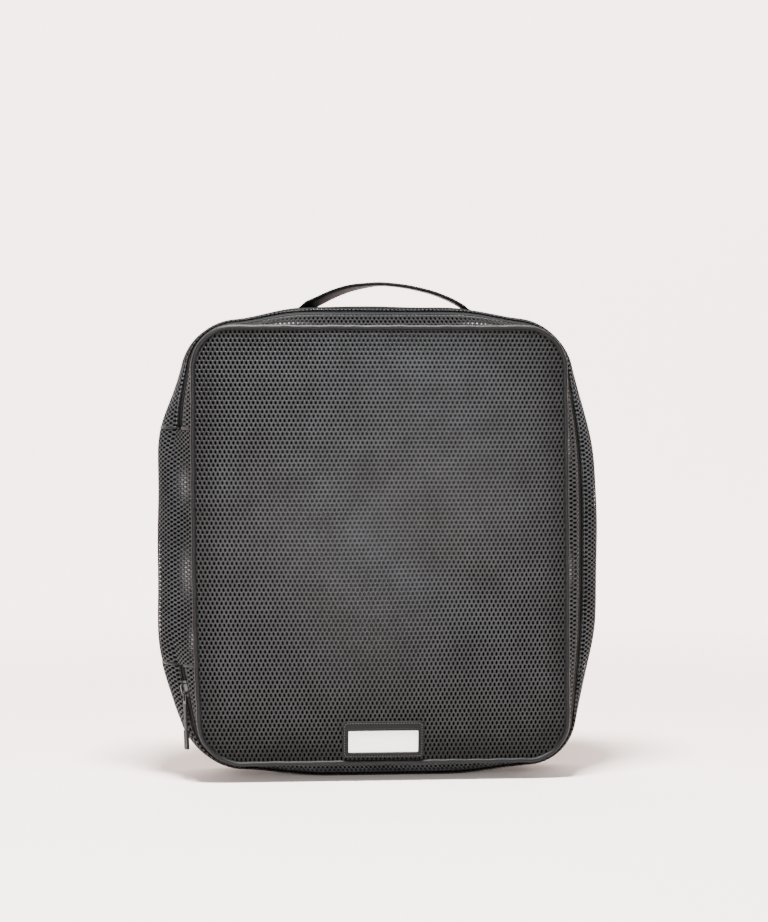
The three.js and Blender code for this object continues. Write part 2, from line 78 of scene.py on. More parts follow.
# Each side, going round from the hinge down, in mm: how far the gusset stands out at its fullest (belly) and
# at the zip (rise), at the side's first end, middle and last end, and the lengths over which both grow.
LEFT = {"belly": (10.5, 30.5, 13.5), "rise": (6, 13.5, 3.5), "belly_run": (52, 56), "rise_run": (26, 47)}
BOTTOM = {"belly": (4.5, 14, 4.5), "rise": (2.5, 10, 2.5), "belly_run": (80, 80), "rise_run": (60, 60)}
RIGHT = {"belly": (7.5, 22.5, 9.5), "rise": (2.5, 7, 2.5), "belly_run": (66, 72), "rise_run": (70, 70)}
TOP = {"belly": (6.5, 16.5, 5), "rise": (4, 12.5, 3), "belly_run": (50, 50), "rise_run": (40, 46)}
BELLY_Y = ZIP_Y + 26 * MM  # the depth at which the gusset is fullest
TAPE_SHOWN = 5 * MM  # half the width of zip tape that shows between the two strips of mesh
TAPE_SLOPE = 0.4
FLOOR_SOFT = 1.2 * MM  # how gently the base flattens on the ground
FLOOR_GAP = 0.1 * MM
FOOT_TOP = 58 * MM  # the foot of the left side, and how it fades in below that height
FOOT_FADE = 30 * MM
HINGE_FADE = 30 * MM  # how far the zip's ridge takes to fade into the plain hinge panel

# ---------------------------------------------------------------- the seam line
STRAIGHT_TALL = SEAM_TALL - 2 * CORNER_RADIUS
STRAIGHT_WIDE = 2 * (HALF_WIDTH - CORNER_RADIUS)
ARC = CORNER_RADIUS * math.pi / 2
LEFT_BELOW = HINGE_LOW - SEAM_LOW - CORNER_RADIUS  # left side under the hinge panel
LEFT_REST = STRAIGHT_TALL - LEFT_BELOW
CX = HALF_WIDTH - CORNER_RADIUS
CZ = SEAM_TALL / 2 - CORNER_RADIUS
# The loop starts at the hinge panel's lower end. Each straight run: length, start (x, z), direction, outward
# normal, side, distance already run along the side. Each corner: length, centre, start angle, its two sides.
LOOP = [
    (LEFT_BELOW, (-HALF_WIDTH, -CZ + LEFT_BELOW), (0, -1), (-1, 0), LEFT, LEFT_REST),
    (ARC, (-CX, -CZ), math.pi, LEFT, BOTTOM),
    (STRAIGHT_WIDE, (-CX, -SEAM_TALL / 2), (1, 0), (0, -1), BOTTOM, 0),
    (ARC, (CX, -CZ), 1.5 * math.pi, BOTTOM, RIGHT),
    (STRAIGHT_TALL, (HALF_WIDTH, -CZ), (0, 1), (1, 0), RIGHT, 0),
    (ARC, (CX, CZ), 0, RIGHT, TOP),
    (STRAIGHT_WIDE, (CX, SEAM_TALL / 2), (-1, 0), (0, 1), TOP, 0),
    (ARC, (-CX, CZ), 0.5 * math.pi, TOP, LEFT),
    (LEFT_REST, (-HALF_WIDTH, CZ), (0, -1), (-1, 0), LEFT, 0),
]
STARTS = np.concatenate([[0], np.cumsum([run[0] for run in LOOP])])
PERIMETER = STARTS[-1]
ZIP_LENGTH = PERIMETER - (HINGE_HIGH - HINGE_LOW)


def smooth(t):
    t = np.clip(t, 0, 1)
    return t * t * (3 - 2 * t)


def unit(vectors):
    return vectors / np.maximum(np.linalg.norm(vectors, axis=-1, keepdims=True), 1e-12)


def raised(base, u, v, height, step):
    """Points of the surface base(u, v), moved by a height along its normal."""
    along_u = base(u + step, v) - base(u - step, v)
    along_v = base(u, v + step) - base(u, v - step)
    return base(u, v) + unit(np.cross(along_u, along_v)) * np.asarray(height)[..., None]


def along_side(side, key, d, total):
    """Belly or rise at distance d along a side."""
    first, middle, last = (v * MM for v in side[key])
    run_in, run_out = (v * MM for v in side[f"{key}_run"])
    t_in, t_out = np.clip(d / run_in, 0, 1), np.clip((total - d) / run_out, 0, 1)
    value = middle + (first - middle) * (1 - 0.75 * t_in - 0.25 * smooth(t_in))
    return value + (last - middle) * (1 - 0.75 * t_out - 0.25 * smooth(t_out))


def rough_outline(s):
    """Seam line at distance s: x, z, outward normal, belly and rise."""
    s = np.mod(np.asarray(s, float), PERIMETER)
    out = np.zeros((6,) + s.shape)
    for start, run in zip(STARTS, LOOP):
        here = (s >= start) & (s <= start + run[0])
        d = s[here] - start
        if run[0] == ARC:
            _, centre, start_angle, before, after = run
            angle = start_angle + d / CORNER_RADIUS
            nx, nz = np.cos(angle), np.sin(angle)
            x, z = centre[0] + CORNER_RADIUS * nx, centre[1] + CORNER_RADIUS * nz
            t = d / ARC
            ends = [(before[key][2], after[key][0]) for key in ("belly", "rise")]
            belly, rise = ((last + (first - last) * smooth(t)) * MM for last, first in ends)
            belly = belly - CORNER_DIP * np.sin(math.pi * t) ** 2
        else:
            _, at, along, normal, side, done = run
            x, z = at[0] + along[0] * d, at[1] + along[1] * d
            nx, nz = np.full_like(d, normal[0]), np.full_like(d, normal[1])
            total = STRAIGHT_TALL if along[0] == 0 else STRAIGHT_WIDE
            belly, rise = (along_side(side, key, done + d, total) for key in ("belly", "rise"))
        out[:, here] = (SEAM_X + x, SEAM_MID + z, nx, nz, belly, rise)
    return out


def softened(values, length):
    """Values round the loop, blurred along it."""
    turns = np.fft.rfftfreq(len(values), PERIMETER / len(values))
    return np.fft.irfft(np.fft.rfft(values) * np.exp(-2 * (math.pi * turns * length) ** 2), len(values))


ROUND = np.linspace(0, PERIMETER, 2400, endpoint=False)
SOFTENING = 13 * MM
BELLY, RISE = (softened(values, SOFTENING) for values in rough_outline(ROUND)[4:])


def outline(s):
    """Seam line at distance s, with the belly and rise softened along it."""
    line = rough_outline(s)
    line[4] = np.interp(s, ROUND, BELLY, period=PERIMETER)
    line[5] = np.interp(s, ROUND, RISE, period=PERIMETER)
    return line


def lid_lean(x, z, at_zip=0.0):
    """How far the packing pulls the left and right sides across, by height. at_zip is 0 on the lid's seam
    and 1 from the zip back, where the left side keeps its place except at its foot."""
    w = np.clip((z - SEAM_LOW) / SEAM_TALL, 0, 1)
    left = (-2.5 + 6.6 * (1 - w) ** 4) * MM
    right = -(7.6 + 3.4 * w**2) * MM
    right_back = (-2.5 + 9 * w - 18.5 * w**4) * MM
    foot = smooth((FOOT_TOP - z) / FOOT_FADE)
    left = left * (1 - at_zip * (1 - foot))
    right = right + (right_back - right) * at_zip
    return left + (right - left) * (x - SEAM_X + HALF_WIDTH) / (2 * HALF_WIDTH)


def lid_lift(z):
    """How far the lid's seam is lifted at its foot and lowered at its top."""
    w = np.clip((z - SEAM_LOW) / SEAM_TALL, 0, 1)
    return (3.2 * (1 - w) ** 5 - 1.2 * w**4) * MM


def swell(s, y, belly, rise):
    """How far the gusset stands out from the seam line at depth y."""
    front, back = ZIP_Y - TAPE_SHOWN, ZIP_Y + TAPE_SHOWN
    at_front, at_back = rise - TAPE_SLOPE * TAPE_SHOWN, rise + TAPE_SLOPE * TAPE_SHOWN
    t = np.clip((y - FRONT_Y) / (front - FRONT_Y), 0, 1)
    before = at_front * (t + 0.25 * t * (1 - t))
    tape = rise + TAPE_SLOPE * (y - ZIP_Y)
    left = np.clip((BELLY_Y - y) / (BELLY_Y - back), 0, 1)
    middle = belly - (belly - at_back) * left**2
    past = np.clip((y - BELLY_Y) / (BACK_Y - BELLY_Y), 0, 1)
    after = belly * (1 - past**2.2)
    with_zip = np.where(y < front, before, np.where(y < back, tape, np.where(y < BELLY_Y, middle, after)))
    rounded = belly * np.sin(math.pi / 2 * np.clip((y - FRONT_Y) / (BELLY_Y - FRONT_Y), 0, 1)) ** 1.35
    rounded = np.where(y < BELLY_Y, rounded, after)
    s = np.mod(s, PERIMETER)
    in_hinge = smooth((s - ZIP_LENGTH) / HINGE_FADE) * smooth((PERIMETER - s) / HINGE_FADE)
    return with_zip + (rounded - with_zip) * in_hinge


def gusset_base(s, y):
    """Points on the gusset, with a faint ripple behind the zip, and softly flattened at the ground."""
    x, z, nx, nz, belly, rise = outline(s)
    ripple = 0.5 * MM * np.sin(s * 61 + y * 90) * np.sin(s * 23 + 1.3) * smooth((y - ZIP_Y) / (20 * MM))
    reach = swell(s, y, belly, rise) + ripple * smooth((BACK_Y - y) / (12 * MM))
    at_zip = smooth((y - FRONT_Y) / (ZIP_Y - 1 * MM - FRONT_Y))
    px = x + nx * reach + lid_lean(x, z, at_zip)
    pz = z + nz * reach + lid_lift(z) * (1 - at_zip) - 0.25 * FLOOR_SOFT
    pz = 0.5 * (pz + np.sqrt(pz**2 + FLOOR_SOFT**2))
    return np.stack([px, y + 0 * px, pz], -1)


def gusset(s, y, height=0.0):
    """Points on the gusset, raised by a height along its outward normal, and kept above the ground."""
    s, y, height = np.broadcast_arrays(*(np.asarray(value, float) for value in (s, y, height)))
    point = raised(gusset_base, s, y, -height, 0.4 * MM)
    point[..., 2] = np.maximum(point[..., 2], FLOOR_GAP)
    return point


# ---------------------------------------------------------------- the two big panels
CROWN = 7.5 * MM
CROWN_LENGTH = 42 * MM
# Soft hollows and swellings of the front panel, in mm: place across and up, half lengths, tilt in degrees
# and depth.
DENTS = [
    (55, -25, 80, 26, -42, -5.0),
    (-62, 50, 75, 30, -55, 2.6),
    (-5, -62, 85, 34, -52, 3.6),
    (85, 60, 70, 40, -60, 2.4),
    (-105, -60, 40, 90, 0, -1.6),
    (0, -140, 130, 22, 0, -2.5),
]


def crown(x, z, height=CROWN):
    """How far a panel stands out of the plane of its seam."""
    u, v = np.abs(x - SEAM_X), np.abs(z - SEAM_MID)
    across = 1 - np.exp(-np.clip(HALF_WIDTH - u, 0, None) / CROWN_LENGTH)
    up = 1 - np.exp(-np.clip(SEAM_TALL / 2 - v, 0, None) / CROWN_LENGTH)
    return height * across * up


def dents(x, z):
    """The sum of the soft hollows and swellings."""
    total = np.zeros_like(x)
    for cx, cz, long, short, tilt, depth in DENTS:
        angle = math.radians(tilt)
        dx, dz = x - SEAM_X - cx * MM, z - SEAM_MID - cz * MM
        u = dx * math.cos(angle) + dz * math.sin(angle)
        v = -dx * math.sin(angle) + dz * math.cos(angle)
        total += depth * MM * np.exp(-((u / MM / long) ** 2) - (v / MM / short) ** 2)
    return total


def front_base(x, z):
    out = crown(x, z) + dents(x, z) * np.clip(crown(x, z, 1.0), 0, 1)
    return np.stack([x + lid_lean(x, z), FRONT_Y - out, z + lid_lift(z)], -1)


def front_panel(x, z, height=0.0):
    return raised(front_base, x, z, height, 0.5 * MM)


def inside_outline(x, z):
    """Distance inside the seam line, negative outside it."""
    u, v = np.abs(x - SEAM_X) - CX, np.abs(z - SEAM_MID) - CZ
    outside = np.hypot(np.clip(u, 0, None), np.clip(v, 0, None))
    return CORNER_RADIUS - outside - np.minimum(np.maximum(u, v), 0)


def clamp_to_outline(x, z, margin):
    """Points outside the seam line, less a margin, are brought back onto it."""
    u, v = x - SEAM_X, z - SEAM_MID
    qx, qz = np.clip(u, -CX, CX), np.clip(v, -CZ, CZ)
    dx, dz = u - qx, v - qz
    length = np.maximum(np.hypot(dx, dz), 1e-9)
    shrink = np.minimum(1, (CORNER_RADIUS - margin) / length)
    return SEAM_X + qx + dx * shrink, SEAM_MID + qz + dz * shrink


# ---------------------------------------------------------------- mesh building
def make(name, points, faces, surface, strip=None):
    """A new mesh object. strip holds each point's place on the cloth, which the woven materials follow."""
    data = bpy.data.meshes.new(name)
    places = np.asarray(points, float).reshape(-1, 3).tolist()
    data.from_pydata(places, [], [list(map(int, f)) for f in faces])
    if strip is not None:
        attribute = data.attributes.new("strip", "FLOAT_VECTOR", "POINT")
        attribute.data.foreach_set("vector", np.asarray(strip, np.float32).ravel())
    data.materials.append(surface)
    data.shade_smooth()
    data.validate()
    data.update()
    piece = bpy.data.objects.new(name, data)
    bpy.context.scene.collection.objects.link(piece)
    return piece


def finish_piece(piece, slot, body, *cad_nodes):
    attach(piece, body)
    if cad_nodes:
        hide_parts(*cad_nodes)


def grid_faces(rows, columns, wrap_rows=False, wrap_columns=False):
    """Quads of a grid of points, rows by columns."""
    i = np.arange(rows if wrap_rows else rows - 1)
    j = np.arange(columns if wrap_columns else columns - 1)
    i, j = np.meshgrid(i, j, indexing="ij")
    i, j = i.ravel(), j.ravel()
    i2, j2 = (i + 1) % rows, (j + 1) % columns
    return np.stack([i * columns + j, i2 * columns + j, i2 * columns + j2, i * columns + j2], -1)


def end_caps(rings, sides):
    """The faces that close the first and the last of several rings of points."""
    return [list(range(sides))[::-1], [(rings - 1) * sides + k for k in range(sides)]]


def sheet_faces(rows, columns):
    """Faces of a thin closed sheet: a grid of outer points, the same grid of inner points, and the rim."""
    count = rows * columns
    number = np.arange(count).reshape(rows, columns)
    edge = np.concatenate([number[0], number[1:, -1], number[-1, -2::-1], number[-2:0:-1, 0]])
    rim = np.stack([np.roll(edge, -1), edge, edge + count, np.roll(edge, -1) + count], -1)
    grid = grid_faces(rows, columns)
    return np.concatenate([grid[:, ::-1], grid + count, rim])


def strip_piece(name, s, ring, surface, loop=False):
    """A band along the gusset. ring holds (y, height) pairs round its section, for each s or for all."""
    ring = np.asarray(ring, float)
    ring = np.broadcast_to(ring, (len(s),) + ring.shape[-2:])
    count = ring.shape[1]
    along = np.repeat(np.asarray(s)[:, None], count, 1)
    points = gusset(along, ring[..., 0], ring[..., 1])
    faces = grid_faces(len(s), count, wrap_rows=loop, wrap_columns=True).tolist()
    if not loop:
        faces += [cap[::-1] for cap in end_caps(len(s), count)]
    return make(name, points, faces, surface, np.stack([along, ring[..., 0], ring[..., 1]], -1))


def flat_ring(y_from, y_to, top, thick, steps=8):
    """The section of a thin tape: (y, height) pairs round it, with softened edges."""
    y = np.linspace(y_from, y_to, steps)
    upper = [(v, top) for v in y]
    lower = [(v, top - thick) for v in y[::-1]]
    inwards, down = 0.09 * MM, 0.15 * MM
    upper[0], upper[-1] = (y_from + inwards, top - down), (y_to - inwards, top - down)
    return upper + lower


def tube_piece(name, centre, normal, side, radius, surface, sides=14, loop=True):
    """A cord along points, with a circular section in the plane of two unit vectors."""
    angle = np.linspace(0, 2 * np.pi, sides, endpoint=False)
    ring = normal[:, None] * np.cos(angle)[None, :, None] + side[:, None] * np.sin(angle)[None, :, None]
    along = np.linspace(0, 1, len(centre))[:, None] * PERIMETER
    strip = np.stack(np.broadcast_arrays(along, angle[None] * radius, 0.0), -1)
    faces = grid_faces(len(centre), sides, loop, True)
    return make(name, centre[:, None] + radius * ring, faces, surface, strip)


# ---------------------------------------------------------------- open mesh fabric, as real holes
PITCH = 3.56 * MM
ROW = 3.5 * MM
HOLE_HALF_WIDTH = 0.95 * MM
HOLE_HALF_HEIGHT = 1.72 * MM
YARN_CREST = 0.3 * MM
HOLE_DEPTH = 0.38 * MM
HOLE_TAPER = 0.82
SAME_POINT = 0.05 * MM
SIDE_OPEN = 1.08  # the size of the gusset's holes
SIDE_PAINTED_SHADE = 0.03 * MM  # painted shade: the gusset's yarn is coloured as if it lay this much deeper than the panel's
TOP_PAINTED_SHADE = 0.66 * MM  # and painted shade this much deeper again on the top


def knit_cells(centres, openness):
    """Hexagonal cells with an open hole, merged at their corners: flat points (u, v), heights and faces.
    openness is the size of each cell's hole, about 1."""
    low = (PITCH**2 / 4 - ROW**2) / (-2 * ROW)
    high = (PITCH**2 / 4 + ROW**2) / (2 * ROW)
    half = PITCH / 2
    corners = np.array([(half, low), (0, high), (-half, low), (-half, -low), (0, -high), (half, -low)])
    angle = np.arctan2(corners[:, 1], corners[:, 0])
    rim = np.stack([HOLE_HALF_WIDTH * np.cos(angle), HOLE_HALF_HEIGHT * np.sin(angle)], -1)
    rings = np.stack([corners, rim, rim * HOLE_TAPER])
    heights = np.array([YARN_CREST, 0.0, -HOLE_DEPTH])
    size = np.ones((len(centres), 3, 1, 1))
    size[:, 1:] = np.asarray(openness)[:, None, None, None]
    points = centres[:, None, None] + rings[None] * size
    level = np.broadcast_to(heights[None, :, None], points.shape[:3]).reshape(-1)
    flat = points.reshape(-1, 2)
    key = np.round(np.column_stack([flat, level]) / SAME_POINT).astype(np.int64)
    _, first, inverse = np.unique(key, axis=0, return_index=True, return_inverse=True)
    base = np.arange(len(centres))[:, None] * rings[..., 0].size
    k = np.arange(6)
    k2 = (k + 1) % 6
    faces = []
    for outer in (base, base + 6):
        faces.append(np.stack([outer + k, outer + k2, outer + 6 + k2, outer + 6 + k], -1).reshape(-1, 4))
    return flat[first], level[first], inverse.ravel()[np.concatenate(faces)]


def lattice(rows, columns):
    """Centres of cells, every other row shifted by half a pitch."""
    j, i = np.meshgrid(np.arange(rows), np.arange(columns), indexing="ij")
    return np.stack([(i + 0.5 * (j % 2)) * PITCH, j * ROW], -1).reshape(-1, 2)


def gusset_knit(name, s_from, s_to, y_from, y_to, arc, tuck_at=None):
    """Open mesh over part of the gusset, arc wide on the curve. It dips under the zip at tuck_at."""
    columns = round((s_to - s_from) / PITCH)
    rows = round(arc / ROW)
    centres = lattice(rows, columns)
    flat, level, faces = knit_cells(centres, np.full(len(centres), SIDE_OPEN))
    s = s_from + np.clip((flat[:, 0] + PITCH / 2) / (columns * PITCH), 0, 1) * (s_to - s_from)
    y = y_from + np.clip((flat[:, 1] + ROW / 2) / (rows * ROW), 0, 1) * (y_to - y_from)
    height = level.copy()
    if tuck_at is not None:
        height -= TUCK_DEPTH * (1 - smooth(np.abs(y - tuck_at) / TUCK_RUN))
    # painted shade on the gusset's yarn, strongest on the top
    shade = SIDE_PAINTED_SHADE + TOP_PAINTED_SHADE * np.clip(outline(s)[3], 0, 1)
    return make(name, gusset(s, y, height), faces, SIDE_YARN_PAINTED_LIGHT, np.stack([s, y, level - shade], -1))


# ---------------------------------------------------------------- surfaces, all procedural
class Surface:
    """A material made of nodes. on_strip makes its pattern follow the cloth, not the object."""

    def __init__(self, name, rough, specular=0.5, on_strip=False):
        self.material = bpy.data.materials.new(name)
        self.material.use_nodes = True
        self.tree = self.material.node_tree
        self.inputs = self.tree.nodes["Principled BSDF"].inputs
        self.set("Roughness", rough)
        self.set("Specular IOR Level", specular)
        if on_strip:
            self.place = self.node("ShaderNodeAttribute", attribute_name="strip").outputs["Vector"]
        else:
            self.place = self.node("ShaderNodeTexCoord").outputs["Object"]

    def set(self, socket, value):
        self.inputs[socket].default_value = value

    def link(self, source, target):
        self.tree.links.new(source, target)

    def node(self, kind, **values):
        """A shader node with its settings, and with inputs by name."""
        made = self.tree.nodes.new(kind)
        for key, value in values.items():
            if key in made.inputs:
                made.inputs[key].default_value = value
            else:
                setattr(made, key, value)
        return made

    def math(self, operation, *values):
        made = self.node("ShaderNodeMath", operation=operation)
        for socket, value in zip(made.inputs, values):
            if isinstance(value, (int, float)):
                socket.default_value = value
            else:
                self.link(value, socket)
        return made.outputs[0]

    def total(self, start, *parts):
        """A start value plus each socket times its weight."""
        for socket, weight in parts:
            start = self.math("MULTIPLY_ADD", socket, weight, start)
        return start

    def noise(self, scale, detail=2):
        made = self.node("ShaderNodeTexNoise", Scale=scale, Detail=detail)
        self.link(self.place, made.inputs["Vector"])
        return made.outputs[0]

    def split(self):
        made = self.node("ShaderNodeSeparateXYZ")
        self.link(self.place, made.inputs[0])
        return made.outputs

    def colour(self, value, *stops):
        """Colours the surface by a value, through (position, colour) stops: ends, then any middle one."""
        made = self.node("ShaderNodeValToRGB")
        elements = made.color_ramp.elements
        for k, (position, shade) in enumerate(stops):
            element = elements[k] if k < 2 else elements.new(position)
            element.position = position
            element.color = (*shade, 1)
        self.link(value, made.inputs[0])
        self.link(made.outputs[0], self.inputs["Base Color"])

    def bump(self, height, strength, distance):
        made = self.node("ShaderNodeBump", Strength=strength, Distance=distance)
        self.link(height, made.inputs["Height"])
        self.link(made.outputs[0], self.inputs["Normal"])


RAMP_LOW, RAMP_HIGH = 0.3, 0.7  # the range that a sum of noises mostly stays in


def grey(value, warm=0.0):
    """A grey, less blue where warm is above 0, and bluer where it is below: a painted cast against the warm
    light that the floor throws onto the bag.
    """
    return (value * (1 + warm), value, value * (1 - warm))


def cloth(name, dark, light, tint, rough, weave, strength, specular=0.2, sheen=0.0):
    """Woven yarn: two crossed sets of fine ribs, with a slow change of shade."""
    cover = Surface(name, rough, specular, on_strip=True)
    turns = [cover.math("MULTIPLY", cover.split()[k], 2 * math.pi / weave[k]) for k in (0, 1)]
    ribs = [cover.math("SINE", turn) for turn in turns]
    pattern = cover.math("MULTIPLY_ADD", cover.math("MULTIPLY", *ribs), 0.5, 0.5)
    slow, fine = cover.noise(28), cover.noise(900)
    shade = cover.total(0.0, (pattern, 0.25), (slow, 0.45), (fine, 0.3))
    cover.colour(shade, (RAMP_LOW, grey(dark, tint)), (RAMP_HIGH, grey(light, tint)))
    cover.set("Sheen Weight", sheen)
    cover.set("Sheen Roughness", 0.4)
    cover.bump(cover.math("ADD", pattern, fine), strength, 0.15 * MM)
    return cover.material


def knit(name, valley, rim, crest, tint, rough, specular):
    """Open mesh yarn with painted shade and painted highlight: nearly black down in the holes, lighter on
    the crests between them.
    """
    cover = Surface(name, rough, specular, on_strip=True)
    tall = YARN_CREST + HOLE_DEPTH
    level = cover.math("MULTIPLY_ADD", cover.split()[2], 1 / tall, HOLE_DEPTH / tall)
    fine, slow = cover.noise(1400), cover.noise(35)
    # painted shade and painted highlight: the colour follows the yarn's height, black in the holes and light
    # on the crests, with random tone from the two noises
    shade = cover.total(-0.4, (level, 1.0), (fine, 0.5), (slow, 0.3))
    cover.colour(shade, (0.2, grey(valley, tint)), (1.0, grey(crest, tint)), (0.56, grey(rim, tint)))
    cover.bump(fine, 0.35, 0.12 * MM)
    return cover.material


def lining_cloth():
    """The dark inner cloth, with painted light: paler where the strip's third value says that packing and
    light show through.
    """
    cover = Surface("lining_cloth", 1.0, 0.0, on_strip=True)
    fine = cover.noise(500)
    shade = cover.math("MULTIPLY", cover.split()[2], cover.math("ADD", fine, 0.5))
    cover.colour(shade, (0.0, grey(0.0008)), (1.0, grey(0.55)))
    cover.bump(fine, 0.3, 0.15 * MM)
    return cover.material


def plastic(name, dark, light, rough, specular, grain, strength, metallic=0.0):
    """Moulded rubber, plastic, card or cast metal with a fine grain."""
    cover = Surface(name, rough, specular)
    fine, slow = cover.noise(grain, 3), cover.noise(40)
    cover.colour(cover.total(0.0, (slow, 0.5), (fine, 0.5)), (RAMP_LOW, dark), (RAMP_HIGH, light))
    cover.set("Metallic", metallic)
    cover.bump(fine, strength, 0.1 * MM)
    return cover.material


def clear_film():
    cover = Surface("clear_film", 0.12)
    shade = cover.noise(60)
    cover.colour(shade, (RAMP_LOW, grey(0.9)), (RAMP_HIGH, grey(0.97)))
    cover.set("Alpha", 0.04)
    cover.bump(shade, 0.1, 0.3 * MM)
    return cover.material


MESH_YARN = knit("knit_yarn", 0.0006, 0.0038, 0.0275, -0.08, 0.45, 0.16)
# the panel's yarn again, with lighter crests as painted light for the gussets; the painted shade above
# darkens it on the top
SIDE_YARN_PAINTED_LIGHT = knit("side_yarn", 0.0006, 0.005, 0.05, -0.09, 0.55, 0.08)
LINING = lining_cloth()
BACK_CLOTH = cloth("back_cloth", 0.0018, 0.0062, -0.16, 0.7, (1.6 * MM, 1.6 * MM), 0.9, 0.12)
PIPING = cloth("piping_cloth", 0.0008, 0.0024, -0.24, 0.45, (0.8 * MM, 0.8 * MM), 0.4, 0.18)
TAPE = cloth("zip_tape", 0.001, 0.003, -0.22, 0.6, (0.5 * MM, 1.1 * MM), 0.4, 0.1)
WEBBING = cloth("webbing", 0.001, 0.0035, -0.26, 0.6, (1.4 * MM, 2.2 * MM), 0.8, 0.08)
HEM = cloth("hem_tape", 0.001, 0.003, -0.22, 0.5, (0.6 * MM, 1.0 * MM), 0.5)
COIL = plastic("zip_coil", grey(0.003), grey(0.006), 0.35, 0.5, 700, 0.15)
THREAD = cloth("thread", 0.03, 0.055, 0.0, 0.6, (0.4 * MM, 0.4 * MM), 0.3, sheen=0.1)
RUBBER = plastic("label_rubber", grey(0.0012, -0.1), grey(0.003, -0.1), 0.5, 0.15, 1200, 0.2)
CARD = plastic("white_card", grey(0.98), grey(0.995), 0.7, 0.3, 300, 0.05)
METAL = plastic("slider_metal", grey(0.002, -0.1), grey(0.006, -0.1), 0.4, 0.35, 500, 0.1, 0.3)
PULL_RUBBER = plastic("pull_rubber", grey(0.003, -0.12), grey(0.006, -0.12), 0.55, 0.2, 900, 0.2)
FILM = clear_film()


# ---------------------------------------------------------------- the fabric shell
TUCK_DEPTH = 1.9 * MM  # how far the mesh dips where it is sewn to the zip, and over what distance
TUCK_RUN = 2.2 * MM
LINING_DEPTH = 1.5 * MM
LINING_THICK = 0.6 * MM
INSIDE_SHADE = 0.012  # the plain inner face of the lining, on the scale of the glow patches
FRONT_EDGE = FRONT_Y + 1.2 * MM
BACK_EDGE = BACK_Y - 1.2 * MM
ZIP_FRONT = ZIP_Y - TAPE_SHOWN
ZIP_BACK = ZIP_Y + TAPE_SHOWN
FRONT_ARC, REAR_ARC, HINGE_ARC = 15.5 * MM, 60 * MM, 92 * MM  # widths of the strips of mesh, on the curve
ALONG_ZIP = np.linspace(0, ZIP_LENGTH, 600)
ALONG_ALL = np.linspace(0, PERIMETER, 700, endpoint=False)
PANEL_OPEN = 1.06  # the size of the panel's holes where the mesh is slack
SEAM_SHADE, SEAM_SHADE_RUN = 0.12 * MM, 26 * MM  # painted shade: the panel's yarn is darker towards its seam
FOOT_SHADE, FOOT_SHADE_RUN = 0.13 * MM, 60 * MM  # and painted shade towards its foot
HEAD_SHADE = 0.07 * MM  # and painted shade towards its top
BACK_CROWN = 5 * MM
BACK_THICK = 1.6 * MM
PIPING_RADIUS = 1.95 * MM
PIPING_OUT = 0.4 * MM

LABEL_LOW, LABEL_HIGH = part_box("label_backing")
LABEL_WIDE = LABEL_HIGH.x - LABEL_LOW.x
LABEL_TALL = 29 * MM
LABEL_X = (LABEL_LOW.x + LABEL_HIGH.x) / 2 - 4.2 * MM
LABEL_Z = (LABEL_LOW.z + LABEL_HIGH.z) / 2 + 1.2 * MM
LABEL_COVER = 3 * MM  # how far the mesh goes on under the label's edge

# Where packing and light show through the mesh, painted as pale lining (only painted light on the gusset),
# and where the panel's mesh is drawn tight: middle, half lengths and strength, in mm, on the panel (across
# and up from its middle) and on the gusset (along from the hinge and in depth).
PANEL_PACKING_AND_PAINTED_LIGHT = [(-50, 30, 60, 45, 0.04), (-10, -40, 45, 55, 0.06), (60, 60, 60, 60, 0.03)]
PANEL_TIGHT = [(-25, 10, 85, 75, 0.36), (70, 60, 75, 80, 0.3), (20, 150, 95, 55, 0.32)]
SIDE_PAINTED_LIGHT = [
    (505, -32, 10, 2.5, 0.7),
    (608, -32, 12, 2.5, 0.8),
    (751, -34, 10, 3, 0.9),
    (913, -34, 12, 3, 0.9),
    (1094, -26, 10, 4.5, 0.8),
    (1164, -28, 13, 4.5, 1.0),
    (1216, -34, 8, 3.5, 1.2),
]


def glow(u, v, patches):
    total = np.zeros(np.broadcast(u, v).shape)
    for cu, cv, half_u, half_v, strength in patches:
        total += strength * np.exp(-(((u / MM - cu) / half_u) ** 2) - ((v / MM - cv) / half_v) ** 2)
    return np.clip(total, 0, 1)


def lining_sheet(name, place, u, v, depth, light):
    """A thin cloth: its outer face is painted paler where light shows through, and its inner face is plain.
    """
    points = [place(u, v, -depth), place(u, v, -depth - LINING_THICK)]
    strip = [np.stack([u, v, shade], -1) for shade in (light, np.full(u.shape, INSIDE_SHADE))]
    return make(name, points, sheet_faces(*u.shape), LINING, strip)


def gusset_lining(name, s, y, depth):
    s, y = np.meshgrid(s, y, indexing="ij")
    # painted light: pale patches where the background's light shows through the gusset's holes
    return lining_sheet(name, gusset, s, y, depth, glow(s, y, SIDE_PAINTED_LIGHT))


def rounded_sheet(columns, rows, margin):
    """A grid over a whole panel, its outer points brought inside the rounded corners."""
    u, v = np.meshgrid(np.linspace(-1, 1, columns), np.linspace(-1, 1, rows))
    return clamp_to_outline(SEAM_X + u * HALF_WIDTH, SEAM_MID + v * SEAM_TALL / 2, margin)


